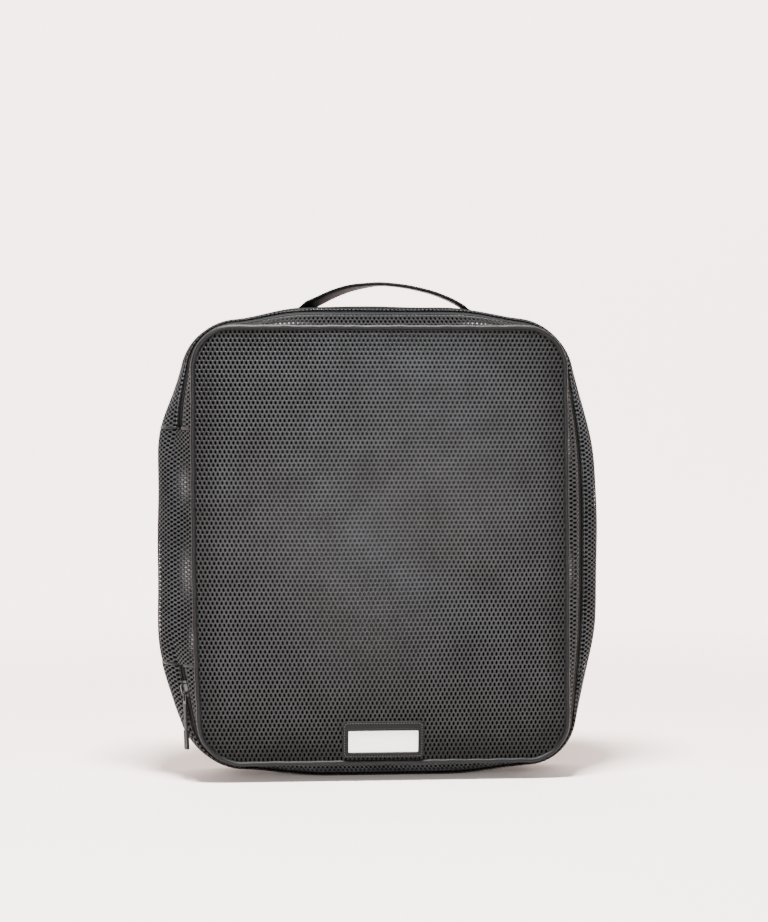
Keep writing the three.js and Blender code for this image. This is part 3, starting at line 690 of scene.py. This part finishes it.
def build_front_panel():
    """The lid's open mesh, left out under the label, and the lining behind it."""
    columns = math.ceil(2 * HALF_WIDTH / PITCH) + 1
    rows = math.ceil(SEAM_TALL / ROW) + 1
    centres = lattice(rows, columns)
    centres -= np.array([(columns - 0.5) * PITCH / 2, (rows - 1) * ROW / 2])
    x, z = SEAM_X + centres[:, 0], SEAM_MID + centres[:, 1]
    under_x = np.abs(x + lid_lean(x, z) - LABEL_X) < LABEL_WIDE / 2 - LABEL_COVER
    under_z = np.abs(z + lid_lift(z) - LABEL_Z) < LABEL_TALL / 2 - LABEL_COVER
    centres = centres[(inside_outline(x, z) > 0.2 * MM) & ~(under_x & under_z)]
    flat, level, faces = knit_cells(centres, PANEL_OPEN - glow(*centres.T, PANEL_TIGHT))
    x, z = clamp_to_outline(SEAM_X + flat[:, 0], SEAM_MID + flat[:, 1], 1.2 * MM)
    # painted shade: the height that colours the yarn is lowered towards the seam, the foot and the top
    shade = SEAM_SHADE * (1 - smooth(inside_outline(x, z) / SEAM_SHADE_RUN))
    shade = shade + FOOT_SHADE * (1 - smooth((z - SEAM_LOW) / FOOT_SHADE_RUN))
    shade = shade + HEAD_SHADE * smooth((z - SEAM_MID) / (SEAM_TALL / 2))
    strip = np.stack([x, z, level - shade], -1)
    piece = make("front_mesh", front_panel(x, z, level), faces, MESH_YARN, strip)
    finish_piece(piece, "air_mesh", "lid", "front_panel")

    x, z = rounded_sheet(70, 80, 0.2 * MM)
    depth = LINING_DEPTH + 0.3 * MM * smooth(1 - inside_outline(x, z) / (60 * MM))
    # paler lining where packing shows through, partly painted light
    light = glow(x - SEAM_X, z - SEAM_MID, PANEL_PACKING_AND_PAINTED_LIGHT)
    finish_piece(lining_sheet("front_lining", front_panel, x, z, depth, light), "lining", "lid")


def build_back_panel():
    """Plain cloth whose hollows are softer than the front's and mirrored."""
    x, z = rounded_sheet(90, 100, 1.2 * MM)
    out = crown(x, z, BACK_CROWN) + 0.6 * dents(2 * SEAM_X - x, z) * np.clip(crown(x, z, 1.0), 0, 1)
    outer = np.stack([x + lid_lean(x, z, 1.0), BACK_Y + out, z], -1)
    inner = outer - np.array([0, BACK_THICK, 0])
    strip = np.stack([x, z, 0 * x], -1)
    piece = make("back_cloth", [outer, inner], sheet_faces(*x.shape)[:, ::-1], BACK_CLOTH, [strip, strip])
    finish_piece(piece, "air_mesh", "shell", "back_panel")


def cord_path(s, y, out):
    """A line round the bag at depth y, moved out from the seam, with its normals and side directions."""
    x, z, nx, nz, _, _ = outline(s)
    at_zip = 0.0 if y < ZIP_Y else 1.0
    centre_z = z + nz * out + lid_lift(z) * (1 - at_zip)
    centre = np.stack([x + nx * out + lid_lean(x, z, at_zip), np.full_like(x, y), centre_z], -1)
    normal = np.stack([nx, 0 * nx, nz], -1)
    return centre, normal, np.broadcast_to(np.array([0.0, 1.0, 0.0]), normal.shape)


def build_piping():
    wobble = 0.12 * MM * np.sin(ALONG_ALL * 340) + 0.1 * MM * np.sin(ALONG_ALL * 131 + 1)
    for end, y, body in (("front", FRONT_Y, "lid"), ("back", BACK_Y, "shell")):
        centre, normal, side = cord_path(ALONG_ALL, y, PIPING_OUT)
        centre = centre + normal * wobble[:, None]
        piece = tube_piece(f"{end}_piping_cord", centre, normal, side, PIPING_RADIUS, PIPING)
        finish_piece(piece, "piping", body, f"{end}_piping")


def build_seam_tapes():
    for end, y, inwards, body in (("front", FRONT_Y, 1, "lid"), ("back", BACK_Y, -1, "shell")):
        y_from, y_to = sorted((y + inwards * 1.5 * MM, y + inwards * 8 * MM))
        ring = flat_ring(y_from, y_to, -2.6 * MM, 0.6 * MM)
        piece = strip_piece(f"{end}_seam_tape", ALONG_ALL, ring, HEM, loop=True)
        finish_piece(piece, "tape", body, f"{end}_seam_binding")


def build_gussets():
    """The two strips of mesh on each side of the zip, each with a lining that dips under the zip's tape."""
    front = gusset_knit("front_gusset_mesh", 0, ZIP_LENGTH, FRONT_EDGE, ZIP_FRONT, FRONT_ARC, ZIP_FRONT)
    finish_piece(front, "air_mesh", "lid", "front_gusset")
    rear = gusset_knit("rear_gusset_mesh", 0, ZIP_LENGTH, ZIP_BACK, BACK_EDGE, REAR_ARC, ZIP_BACK)
    finish_piece(rear, "air_mesh", "shell", "rear_gusset")
    for name, y, body in (
        ("front_gusset_lining", np.linspace(FRONT_Y, ZIP_FRONT - 0.5 * MM, 7), "lid"),
        ("rear_gusset_lining", np.linspace(ZIP_BACK + 0.5 * MM, BACK_Y, 16), "shell"),
    ):
        from_zip = np.minimum(abs(y - ZIP_FRONT), abs(y - ZIP_BACK))
        depth = LINING_DEPTH + 1.2 * MM * (1 - smooth(from_zip / (3 * MM)))
        finish_piece(gusset_lining(name, ALONG_ZIP, y, depth), "lining", body)


def build_hinge():
    """The fabric side that stands in for a hinge: mesh and lining between shell and lid."""
    hinge = gusset_knit("hinge_mesh", ZIP_LENGTH, PERIMETER, FRONT_EDGE, BACK_EDGE, HINGE_ARC)
    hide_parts("hinge_panel_front", "hinge_panel_rear")
    s, y = np.linspace(ZIP_LENGTH, PERIMETER, 90), np.linspace(FRONT_Y, BACK_Y, 40)
    lining = gusset_lining("hinge_lining", s, y, LINING_DEPTH)
    for piece, slot in ((hinge, "air_mesh"), (lining, "lining")):
        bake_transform(piece)


# ---------------------------------------------------------------- the zip
TAPE_TOP = -2.3 * MM
TAPE_THICK = 0.6 * MM
TAPE_HIDDEN = 6 * MM
SLIT = 0.55 * MM
NOTCH_DEPTH = 4.8 * MM  # the lid's tape is cut back here beside the slider
NOTCH_FADE = 2 * MM
COIL_DEPTH = -4.3 * MM
COIL_PITCH = 1.25 * MM
COIL_SHIFT = 0.75 * MM
COIL_REACH = 1.05 * MM
COIL_RISE = 0.75 * MM
COIL_WIRE = 0.3 * MM
COIL_MARGIN = 2 * MM
STITCH_INSET = 0.9 * MM
SLIDER_LOW, SLIDER_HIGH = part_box("slider_body")


def station_of(z):
    """Distance along the seam line of a height on the left side, under the hinge panel."""
    return SEAM_LOW + CORNER_RADIUS + LEFT_BELOW - z


def build_zip():
    ring = flat_ring(ZIP_Y + SLIT, ZIP_BACK + TAPE_HIDDEN, TAPE_TOP, TAPE_THICK)
    finish_piece(strip_piece("body_tape", ALONG_ZIP, ring, TAPE), "tape", "shell", "body_zip_tape")

    notch_start, notch_end = station_of(SLIDER_HIGH.z), station_of(SLIDER_LOW.z)
    beside = np.linspace(notch_start - 3 * MM, notch_end + 3 * MM, 30)
    s = np.unique(np.concatenate([ALONG_ZIP, beside]))
    notch = smooth((s - notch_start + NOTCH_FADE) / NOTCH_FADE) * (1 - smooth((s - notch_end) / NOTCH_FADE))
    edges = ZIP_Y - SLIT - NOTCH_DEPTH * notch
    rings = [flat_ring(ZIP_FRONT - TAPE_HIDDEN, edge, TAPE_TOP, TAPE_THICK) for edge in edges]
    finish_piece(strip_piece("lid_tape", s, rings, TAPE), "tape", "lid", "lid_zip_tape")

    for half, shift, start, phase, body in (
        ("body", COIL_SHIFT, COIL_MARGIN, 0, "shell"),
        ("lid", -COIL_SHIFT, station_of(SLIDER_LOW.z - 1.4 * MM), math.pi, "lid"),
    ):
        turns = int((ZIP_LENGTH - COIL_MARGIN - start) / COIL_PITCH)
        turned = np.linspace(0, turns * 2 * math.pi, turns * 8 + 1)
        y = ZIP_Y + shift + COIL_REACH * np.cos(turned + phase)
        height = COIL_DEPTH + COIL_RISE * np.sin(turned + phase)
        centre = gusset(start + turned / (2 * math.pi) * COIL_PITCH, y, height)
        tangent = unit(np.gradient(centre, axis=0))
        side = unit(np.cross(tangent, np.array([0.3, 0.9, 0.3])))
        coil = tube_piece(f"{half}_coil", centre, side, np.cross(tangent, side), COIL_WIRE, COIL, 4, False)
        finish_piece(coil, "coil", body, f"{half}_zip_coil")


def stitches(name, start, end, normal, width=0.28 * MM, sides=6):
    """Short thread stitches from start to end, each rounded and standing a little out of the cloth."""
    shares = np.array([0.0, 0.08, 0.3, 0.5, 0.7, 0.92, 1.0])
    thick = np.array([0.25, 0.75, 1, 1, 1, 0.75, 0.25]) * width
    lift = np.array([-0.5, 0.2, 0.6, 0.7, 0.6, 0.2, -0.5]) * width
    along = end - start
    side = np.cross(unit(along), normal)
    centre = start[:, None] + along[:, None] * shares[None, :, None] + normal[:, None] * lift[None, :, None]
    angle = np.linspace(0, 2 * np.pi, sides, endpoint=False)
    ring = side[:, None] * np.cos(angle)[None, :, None] + normal[:, None] * np.sin(angle)[None, :, None]
    points = centre[:, :, None] + ring[:, None] * thick[None, :, None, None]
    rings = len(shares)
    one = grid_faces(rings, sides, False, True).tolist() + end_caps(rings, sides)
    faces = [[i + n * rings * sides for i in face] for n in range(len(start)) for face in one]
    strip = np.zeros((len(start) * rings * sides, 3))
    strip[:, 0] = np.repeat(np.arange(len(start)) * 3 * MM, rings * sides)
    return make(name, points, faces, THREAD, strip)


def stitch_row(s_from, s_to, y, height, pitch=3.2 * MM, length=2.3 * MM):
    """Starts, ends and outward directions of a row of stitches along the gusset."""
    s = np.arange(s_from, s_to, pitch)
    out = gusset(s + length / 2, y, height + MM) - gusset(s + length / 2, y, height)
    return gusset(s, y, height), gusset(s + length, y, height), unit(out)


def build_stitching():
    for body, y in (("lid", ZIP_FRONT - STITCH_INSET), ("shell", ZIP_BACK + STITCH_INSET)):
        row = stitch_row(2 * MM, ZIP_LENGTH - 3 * MM, y, -STITCH_INSET)
        finish_piece(stitches(f"{body}_stitches", *row), "tape", body)


def build_hems():
    """The tapes over both ends of the hinge panel, in front of the zip and behind it."""
    for end, edge in (("upper", HINGE_HIGH), ("lower", HINGE_LOW)):
        z = np.linspace(edge - 1.3 * MM, edge + 1.3 * MM, 9)
        bulge = 0.45 * MM * np.sin(np.linspace(0, math.pi, 9)) ** 0.5 + 0.15 * MM
        for half, y_from, y_to, body in (
            ("front", FRONT_Y + 2 * MM, ZIP_Y - 5.5 * MM, "lid"),
            ("rear", ZIP_Y + 5.5 * MM, BACK_Y - 2 * MM, "shell"),
        ):
            s, y = np.meshgrid(PERIMETER - (z - HINGE_LOW), np.linspace(y_from, y_to, 14), indexing="ij")
            points = [gusset(s, y, bulge[:, None]), gusset(s, y, -0.5 * MM)]
            strip = np.stack([s, y, 0 * s], -1)
            piece = make(f"{end}_hem_{half}_cloth", points, sheet_faces(*s.shape), HEM, [strip, strip])
            finish_piece(piece, "tape", body, f"{end}_hem_{half}")


# ---------------------------------------------------------------- the handle
FOOT_LOW, FOOT_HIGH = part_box("handle_end_left")
STRAP_Y = (FOOT_LOW.y + FOOT_HIGH.y) / 2
STRAP_HALF = 11 * MM
STRAP_THICK = 2.6 * MM
STRAP_TWIST = math.radians(20)  # how far the strap's left half leans forwards
TOP_START = STARTS[6]  # where the seam line's top run starts
# The strap's centre line, in mm: across from the bag's middle, and above the top of the gusset. Its ends go
# under the mesh.
STRAP_LINE = [(-80, -3.6), (-71, -3.2), (-62, 0.6), (-51, 5.4), (-42, 10.2), (-27, 15.6), (-3, 19.2)]
STRAP_LINE += [(18.5, 17), (39.4, 12.2), (52.3, 7.2), (62, 2.4), (67, -1.6), (71, -4.2), (77, -6)]


def build_handle():
    """One webbing strap: both ends sewn in under the mesh, and a low arch between them."""
    key = np.array(STRAP_LINE) * MM
    length = np.concatenate([[0], np.cumsum(np.hypot(*np.diff(key, axis=0).T))])
    at = np.linspace(0, 1, 120) * length[-1]
    x = SEAM_X + np.interp(at, length, key[:, 0])
    z = TOP_Z + np.interp(at, length, key[:, 1])
    for line in (x, z):
        for _ in range(30):
            line[1:-1] = (line[:-2] + 2 * line[1:-1] + line[2:]) / 4
    centre = np.stack([x, np.full_like(x, STRAP_Y), z], -1)
    above = z - TOP_Z
    twist = STRAP_TWIST * smooth((SEAM_X + 5 * MM - x) / (60 * MM)) * smooth((above + 3 * MM) / (4 * MM))
    depth = np.stack([0 * x, np.cos(twist), -np.sin(twist)], -1)
    up = unit(np.cross(unit(np.gradient(centre, axis=0)), depth))
    across = np.linspace(-1, 1, 11)
    swelling = 0.12 * MM * (1 - across**4)
    upper = [(a * STRAP_HALF, STRAP_THICK / 2 * (1 - 0.5 * a**12) + c) for a, c in zip(across, swelling)]
    lower = [(a * STRAP_HALF, -STRAP_THICK / 2 * (1 - 0.5 * a**12)) for a in across[::-1]]
    ring = np.array(upper + lower)
    thin = 0.5 + 0.5 * smooth((above + 2 * MM) / (3 * MM))
    rise = up[:, None] * ring[None, :, 1:] * thin[:, None, None]
    points = centre[:, None] + depth[:, None] * ring[None, :, :1] + rise
    faces = grid_faces(len(x), len(ring), False, True).tolist() + end_caps(len(x), len(ring))
    strip = np.stack(np.broadcast_arrays(x[:, None], ring[None, :, 0], ring[None, :, 1]), -1)
    piece = make("handle_webbing", points, faces, WEBBING, strip)
    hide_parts("handle_strap", "handle_end_left", "handle_end_right")
    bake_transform(piece)

    low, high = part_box("handle_patch")
    s = TOP_START + (CX - (np.linspace(high.x, low.x, 60) - SEAM_X))
    ring = flat_ring(low.y + 1 * MM, high.y - 1 * MM, -3.1 * MM, 0.8 * MM, steps=14)
    finish_piece(strip_piece("handle_patch_cloth", s, ring, BACK_CLOTH), "lining", "shell", "handle_patch")


# ---------------------------------------------------------------- outlines and plates for the hard parts
BEVEL_STEPS = [(1, 0), (0.45, 0.12), (0.12, 0.45), (0, 1)]  # inwards and up, in bevels


def rounded_loop(half_x, half_y, radius, steps=6, centre=(0, 0)):
    points = []
    for k, (sx, sy) in enumerate([(1, -1), (1, 1), (-1, 1), (-1, -1)]):
        for a in np.linspace(-90 + 90 * k, 90 * k, steps):
            angle = math.radians(a)
            px = sx * (half_x - radius) + radius * math.cos(angle)
            py = sy * (half_y - radius) + radius * math.sin(angle)
            points.append((centre[0] + px, centre[1] + py))
    return np.array(points)


def inset_loop(loop, amount):
    """A loop moved inwards, for bevels."""
    along = np.roll(loop, -1, 0) - np.roll(loop, 1, 0)
    return loop + unit(np.stack([-along[:, 1], along[:, 0]], -1)) * amount


def bevelled(loop, low, high, bevel, inwards=1):
    """(loop, height) pairs from a plate's low rim to its high rim, drawn in at both."""
    under = [(inset_loop(loop, inwards * bevel * i), low + bevel * d) for i, d in BEVEL_STEPS]
    over = [(inset_loop(loop, inwards * bevel * i), high - bevel * d) for i, d in reversed(BEVEL_STEPS)]
    return under + over


def stacked(rings, wrap=False):
    """Points and faces through (loop, height) pairs, closed at both ends, or joined into a frame by wrap."""
    points = np.concatenate([np.column_stack([ring, np.full(len(ring), z)]) for ring, z in rings])
    count = len(rings[0][0])
    faces = grid_faces(len(rings), count, wrap, True)[:, ::-1].tolist()
    return points, faces if wrap else faces + end_caps(len(rings), count)


def plate(loop, low, high, bevel):
    """A flat plate of that outline with rounded rims."""
    return stacked(bevelled(loop, low, high, bevel))


def frame_plate(outer, inner, low, high, bevel):
    """A flat frame between two outlines of as many points, with rounded rims."""
    hole = bevelled(inner, low, high, bevel, -1)[::-1]
    return stacked(bevelled(outer, low, high, bevel) + hole, wrap=True)


def filled_plate(loop, low, high, bevel):
    """A thin plate whose faces are closed by rings shrinking to the middle, so that it can bend."""
    centre = loop.mean(0)
    from_centre = inset_loop(loop, bevel) - centre
    under = [(centre + from_centre * k, low) for k in (0.01, 0.2, 0.45, 0.7, 0.88, 0.96)]
    over = [(ring, high) for ring, _ in reversed(under)]
    return stacked(under + bevelled(loop, low, high, bevel) + over)


def merged(*parts):
    points, faces, base = [], [], 0
    for part_points, part_faces in parts:
        points.append(part_points)
        faces += [[i + base for i in face] for face in part_faces]
        base += len(part_points)
    return np.concatenate(points), faces


def placed(points, origin, x_axis, y_axis, z_axis):
    return origin + points[:, :1] * x_axis + points[:, 1:2] * y_axis + points[:, 2:3] * z_axis


# ---------------------------------------------------------------- the slider and its pull
PIVOT = np.array(JOINTS["pull_swing"]["pos_m"], float)
SLIDER_UP = -np.array(JOINTS["slider_slide"]["axis"], float)
SLIDER_ACROSS = -np.array(JOINTS["pull_swing"]["axis"], float)
SLIDER_OUT = np.cross(SLIDER_ACROSS, SLIDER_UP)
SLIDER_ORIGIN = PIVOT + SLIDER_UP * 2.75 * MM - SLIDER_OUT * 0.765 * MM
PULL_TILT = math.radians(-10)
PULL_UP = SLIDER_UP * math.cos(PULL_TILT) + SLIDER_OUT * math.sin(PULL_TILT)
PULL_OUT = np.cross(SLIDER_ACROSS, PULL_UP)
PLATE_LOW, PLATE_HIGH = -2.08 * MM, -0.8 * MM  # the slider's two plates, over and under the coils
UNDER_LOW, UNDER_HIGH = -7.4 * MM, -6.2 * MM
SHOULDER_HALF, HEEL_HALF, SLIDER_HALF = 4.9 * MM, 3.9 * MM, 6.4 * MM
BRIDGE_HALF = 4.15 * MM
BRIDGE_FOOT = -0.6 * MM
BRIDGE_RISE = 3.3 * MM
RIB_COUNT = 7
RIB_PITCH = 2.1 * MM
FIRST_RIB = -13 * MM
TAB_MIDDLE = (0, -19.15 * MM)
GRIP_MIDDLE = (0, -37.15 * MM)


def slider_outline(steps=8):
    """A zip slider seen from above: wide shoulders, a narrow heel, and all corners rounded."""
    right = [(HEEL_HALF, -SLIDER_HALF), (SHOULDER_HALF, SLIDER_HALF * 0.35)]
    right.append((SHOULDER_HALF * 0.9, SLIDER_HALF))
    key = np.array(right + [(-x, y) for x, y in reversed(right)])
    sides = zip(key, np.roll(key, -1, 0))
    points = np.concatenate([np.linspace(a, b, steps, endpoint=False) for a, b in sides])
    for _ in range(3):
        points = (np.roll(points, 1, 0) + 2 * points + np.roll(points, -1, 0)) / 4
    return points


def on_slider(points):
    return placed(points, SLIDER_ORIGIN, SLIDER_ACROSS, SLIDER_UP, SLIDER_OUT)


def on_pull(points):
    return placed(points, PIVOT, SLIDER_ACROSS, PULL_UP, PULL_OUT)


def build_slider():
    """Two plates joined by a post and two side walls, with an arched bridge on top."""
    loop = slider_outline()
    parts = [plate(loop, PLATE_LOW, PLATE_HIGH, 0.4 * MM), plate(loop, UNDER_LOW, UNDER_HIGH, 0.4 * MM)]
    post = rounded_loop(0.45 * MM, 2.2 * MM, 0.4 * MM, 4, (0, 3.6 * MM))
    parts.append(plate(post, UNDER_HIGH, PLATE_LOW, 0.02 * MM))
    for x in (-4.2 * MM, 4.2 * MM):
        wall = rounded_loop(0.38 * MM, 5.2 * MM, 0.3 * MM, 4, (x, 0))
        parts.append(plate(wall, UNDER_HIGH, -3.6 * MM, 0.15 * MM))
    points, faces = merged(*parts)
    shell = make("slider_shell", on_slider(points), faces, METAL)
    finish_piece(shell, "slider_metal", "slider", "slider_body")

    t = np.linspace(0, math.pi, 26)
    along = BRIDGE_HALF * np.sign(np.cos(t)) * np.abs(np.cos(t)) ** 0.45
    path = np.stack([along, BRIDGE_FOOT + BRIDGE_RISE * np.sin(t) ** 0.45], -1)
    tangent = unit(np.gradient(path, axis=0))
    normal = np.stack([-tangent[:, 1], tangent[:, 0]], -1)
    ring = rounded_loop(1.2 * MM, 0.5 * MM, 0.3 * MM, 4)
    points = np.zeros((len(path), len(ring), 3))
    points[..., 0] = ring[None, :, 0]
    points[..., 1:] = path[:, None] + normal[:, None] * ring[None, :, 1:]
    faces = grid_faces(len(path), len(ring), False, True).tolist() + end_caps(len(path), len(ring))
    bridge = make("slider_crown", on_slider(points.reshape(-1, 3)), faces, METAL)
    finish_piece(bridge, "slider_metal", "slider", "slider_bridge")


def build_pull():
    """A metal ring, a ribbed strip and a thicker rubber end."""
    outer = rounded_loop(2.8 * MM, 4.825 * MM, 1.2 * MM, 6, (0, -4.175 * MM))
    inner = rounded_loop(1.65 * MM, 3.05 * MM, 0.8 * MM, 6, (0, -3.75 * MM))
    points, faces = frame_plate(outer, inner, -0.6 * MM, 0.6 * MM, 0.25 * MM)
    finish_piece(make("pull_ring", on_pull(points), faces, METAL), "slider_metal", "pull", "pull_link")

    tab = rounded_loop(2.6 * MM, 9.75 * MM, 0.8 * MM, 5, TAB_MIDDLE)
    parts = [plate(tab, -0.65 * MM, 0.65 * MM, 0.3 * MM)]
    for k in range(RIB_COUNT):
        rib = rounded_loop(1.9 * MM, 0.45 * MM, 0.3 * MM, 3, (0, FIRST_RIB - RIB_PITCH * k))
        parts.append(plate(rib, 0.4 * MM, 0.85 * MM, 0.15 * MM))
    points, faces = merged(*parts)
    finish_piece(make("pull_strip", on_pull(points), faces, PULL_RUBBER), "pull_rubber", "pull", "pull_tab")

    outer = rounded_loop(3.3 * MM, 7.85 * MM, 1.6 * MM, 6, GRIP_MIDDLE)
    inner = rounded_loop(2.0 * MM, 6.2 * MM, 1.0 * MM, 6, GRIP_MIDDLE)
    rim = frame_plate(outer, inner, -1.1 * MM, 1.1 * MM, 0.4 * MM)
    core = plate(inset_loop(inner, -0.3 * MM), -0.8 * MM, 0.8 * MM, 0.2 * MM)
    points, faces = merged(rim, core)
    finish_piece(make("pull_end", on_pull(points), faces, PULL_RUBBER), "pull_rubber", "pull", "pull_grip")


# ---------------------------------------------------------------- the label holder
WINDOW_HALF_X, WINDOW_HALF_Y = 27.8 * MM, 8.7 * MM
WINDOW_MIDDLE = (0, -1.6 * MM)
PAD_TOP = 0.75 * MM
FRAME_TOP = 1.7 * MM
STITCH_PITCH = 2.1 * MM
STITCH_LONG = 1.35 * MM


def unpulled(x, z):
    """The x on the panel that the lean of the lid moves to x."""
    left = lid_lean(np.full_like(x, SEAM_X - HALF_WIDTH), z)
    right = lid_lean(np.full_like(x, SEAM_X + HALF_WIDTH), z)
    slope = (right - left) / (2 * HALF_WIDTH)
    return (x - left + slope * (SEAM_X - HALF_WIDTH)) / (1 + slope)


def on_panel(points):
    """Points given as (across, up, height) on the label are laid on the front panel."""
    x, z = LABEL_X + points[:, 0], LABEL_Z + points[:, 1]
    z = z - lid_lift(z)
    return front_panel(unpulled(x, z), z, points[:, 2])


def dense_rectangle(half_x, half_y, radius, centre=(0, 0), along=14, up=8):
    """A rounded rectangle with points along its straight sides too."""
    loop = rounded_loop(half_x, half_y, radius, 5, centre)
    points = []
    for a, b in zip(loop, np.roll(loop, -1, 0)):
        steps = 1
        if np.linalg.norm(b - a) > 3 * MM:
            steps = along if abs(b[0] - a[0]) > abs(b[1] - a[1]) else up
        points += [a + (b - a) * k / steps for k in range(steps)]
    return np.array(points)


def window(grow, radius):
    """The window's outline, grown all round."""
    return dense_rectangle(WINDOW_HALF_X + grow, WINDOW_HALF_Y + grow, radius, WINDOW_MIDDLE)


def build_label():
    """A rubber pad and frame, the white card, its clear film, and the stitches round them."""
    half_x, half_y = LABEL_WIDE / 2, LABEL_TALL / 2
    pad = filled_plate(dense_rectangle(half_x, half_y, 3 * MM), -0.5 * MM, PAD_TOP, 0.2 * MM)
    outer = dense_rectangle(half_x - 0.15 * MM, half_y - 0.15 * MM, 2.9 * MM)
    frame_low = frame_plate(outer, window(0, 1.2 * MM), PAD_TOP - 0.1 * MM, FRAME_TOP, 0.4 * MM)
    lip_loops = window(1.5 * MM, 2 * MM), window(0.3 * MM, 1.4 * MM)
    lip = frame_plate(*lip_loops, FRAME_TOP - 0.3 * MM, FRAME_TOP + 0.4 * MM, 0.3 * MM)
    card = filled_plate(window(-0.3 * MM, 0.6 * MM), PAD_TOP + 0.05 * MM, PAD_TOP + 0.35 * MM, 0.08 * MM)
    film = filled_plate(window(0.1 * MM, 0.9 * MM), PAD_TOP + 0.45 * MM, PAD_TOP + 0.65 * MM, 0.05 * MM)
    for name, (points, faces), surface, slot, node_name in (
        ("label_pad", pad, RUBBER, "label_rubber", "label_backing"),
        ("label_surround", merged(frame_low, lip), RUBBER, "label_rubber", "label_frame"),
        ("label_paper", card, CARD, "card", "label_card"),
        ("label_film", film, FILM, "film", "label_window"),
    ):
        finish_piece(make(name, on_panel(points), faces, surface), slot, "lid", node_name)

    path = dense_rectangle(half_x - 1.5 * MM, half_y - 1.4 * MM, 2 * MM)
    closed = np.vstack([path, path[:1]])
    length = np.concatenate([[0], np.cumsum(np.linalg.norm(np.diff(closed, axis=0), axis=1))])
    count = int(length[-1] / STITCH_PITCH)
    at = np.linspace(0, length[-1], count, endpoint=False)
    ends = []
    for shift in (0, STITCH_LONG):
        where = np.mod(at + shift, length[-1])
        flat = [np.interp(where, length, closed[:, k]) for k in (0, 1)]
        ends.append(on_panel(np.column_stack([*flat, np.full(count, FRAME_TOP)])))
    normal = np.tile(np.array([0.0, -1.0, 0.08]), (count, 1))
    finish_piece(stitches("label_stitches", *ends, normal, 0.2 * MM), "tape", "lid")


# ---------------------------------------------------------------- studio
WORLD_LIGHT = 0.1
SWEEP_GLOW = (0.05, 3.1)  # how strongly the sweep itself shines, near the bag and far from it
SWEEP_GLOW_REACH = (0.15, 1.55)  # in metres from the bag
SWEEP_HALF_WIDTH = 4.0
SWEEP_FRONT = -4.0
SWEEP_START = 1.2  # where the floor starts to rise behind the bag
SWEEP_BEND = 0.8
SWEEP_HEIGHT = 4.0
# Each light: name, place, size, watts, and the point that it faces.
LIGHTS = [
    ("key", (-0.06, -0.28, 1.2), (0.3, 0.18), 82, (0, 0, 0)),
    ("front", (-0.7, -2.6, 0.9), (1.0, 0.7), 58, (0, 0, 0.2)),
    ("front_right", (1.6, -1.2, 1.2), (0.5, 0.5), 10, (0, 0, 0.15)),
    ("backdrop_glow", (0, 1.6, 3.2), (3.0, 1.2), 40, (0, 2.6, 0.6)),
]
CAMERA_AZIMUTH = math.radians(-5)
CAMERA_HEIGHT = 0.32
CAMERA_DISTANCE = 1.9
CAMERA_AIM_Z = 0.251
VIEW_WIDTH = 0.7238  # how much the picture takes in, at the depth of the front seam
SENSOR = 36


def build_sweep():
    """A pale floor that rises behind the bag. It shines more with distance, so that it looks evenly lit."""
    cover = Surface("backdrop", 0.9, 0.1)
    pale = ((RAMP_LOW, (0.83, 0.735, 0.695)), (RAMP_HIGH, (0.845, 0.75, 0.71)))
    cover.colour(cover.noise(1.5, 1), *pale)
    cover.set("Emission Color", (1.0, 0.88, 0.835, 1))
    away = cover.node("ShaderNodeVectorMath", operation="LENGTH")
    cover.link(cover.place, away.inputs[0])
    strength = cover.node("ShaderNodeMapRange", interpolation_type="SMOOTHSTEP")
    for key, value in zip(("From Min", "From Max", "To Min", "To Max"), SWEEP_GLOW_REACH + SWEEP_GLOW):
        strength.inputs[key].default_value = value
    cover.link(away.outputs["Value"], strength.inputs["Value"])
    cover.link(strength.outputs["Result"], cover.inputs["Emission Strength"])
    profile = [(SWEEP_FRONT, 0.0), (0.0, 0.0)]
    for a in np.linspace(0, math.pi / 2, 24):
        profile.append((SWEEP_START + SWEEP_BEND * math.sin(a), SWEEP_BEND * (1 - math.cos(a))))
    profile.append((SWEEP_START + SWEEP_BEND, SWEEP_HEIGHT))
    points = [(x, y, z) for y, z in profile for x in (-SWEEP_HALF_WIDTH, SWEEP_HALF_WIDTH)]
    faces = [[2 * k, 2 * k + 1, 2 * k + 3, 2 * k + 2] for k in range(len(profile) - 1)]
    make("sweep", points, faces, cover.material)


def look_from(thing, place, aim):
    """Puts a light or a camera in its place, facing a point."""
    thing.location = place
    thing.rotation_euler = (Vector(aim) - Vector(place)).to_track_quat("-Z", "Y").to_euler()
    bpy.context.scene.collection.objects.link(thing)


def build_lights():
    world = bpy.data.worlds.new("studio")
    world.use_nodes = True
    background = world.node_tree.nodes["Background"]
    background.inputs["Color"].default_value = (1, 0.99, 0.985, 1)
    background.inputs["Strength"].default_value = WORLD_LIGHT
    bpy.context.scene.world = world
    for name, place, size, power, aim in LIGHTS:
        data = bpy.data.lights.new(name, "AREA")
        data.shape = "RECTANGLE"
        data.size, data.size_y = size
        data.energy = power
        look_from(bpy.data.objects.new(name, data), place, aim)


def build_camera():
    flat = math.sqrt(CAMERA_DISTANCE**2 - (CAMERA_HEIGHT - CAMERA_AIM_Z) ** 2)
    place = (SEAM_X + math.sin(CAMERA_AZIMUTH) * flat, -math.cos(CAMERA_AZIMUTH) * flat, CAMERA_HEIGHT)
    data = bpy.data.cameras.new("camera")
    data.sensor_width = SENSOR
    data.lens = SENSOR * (CAMERA_DISTANCE + FRONT_Y) / VIEW_WIDTH
    data.clip_end = 20
    camera = bpy.data.objects.new("camera", data)
    look_from(camera, place, (SEAM_X, 0, CAMERA_AIM_Z))
    bpy.context.scene.camera = camera


build_camera()
build_sweep()
build_lights()
build_front_panel()
build_back_panel()
build_piping()
build_seam_tapes()
build_gussets()
build_hinge()
build_zip()
build_stitching()
build_hems()
build_handle()
build_slider()
build_pull()
build_label()
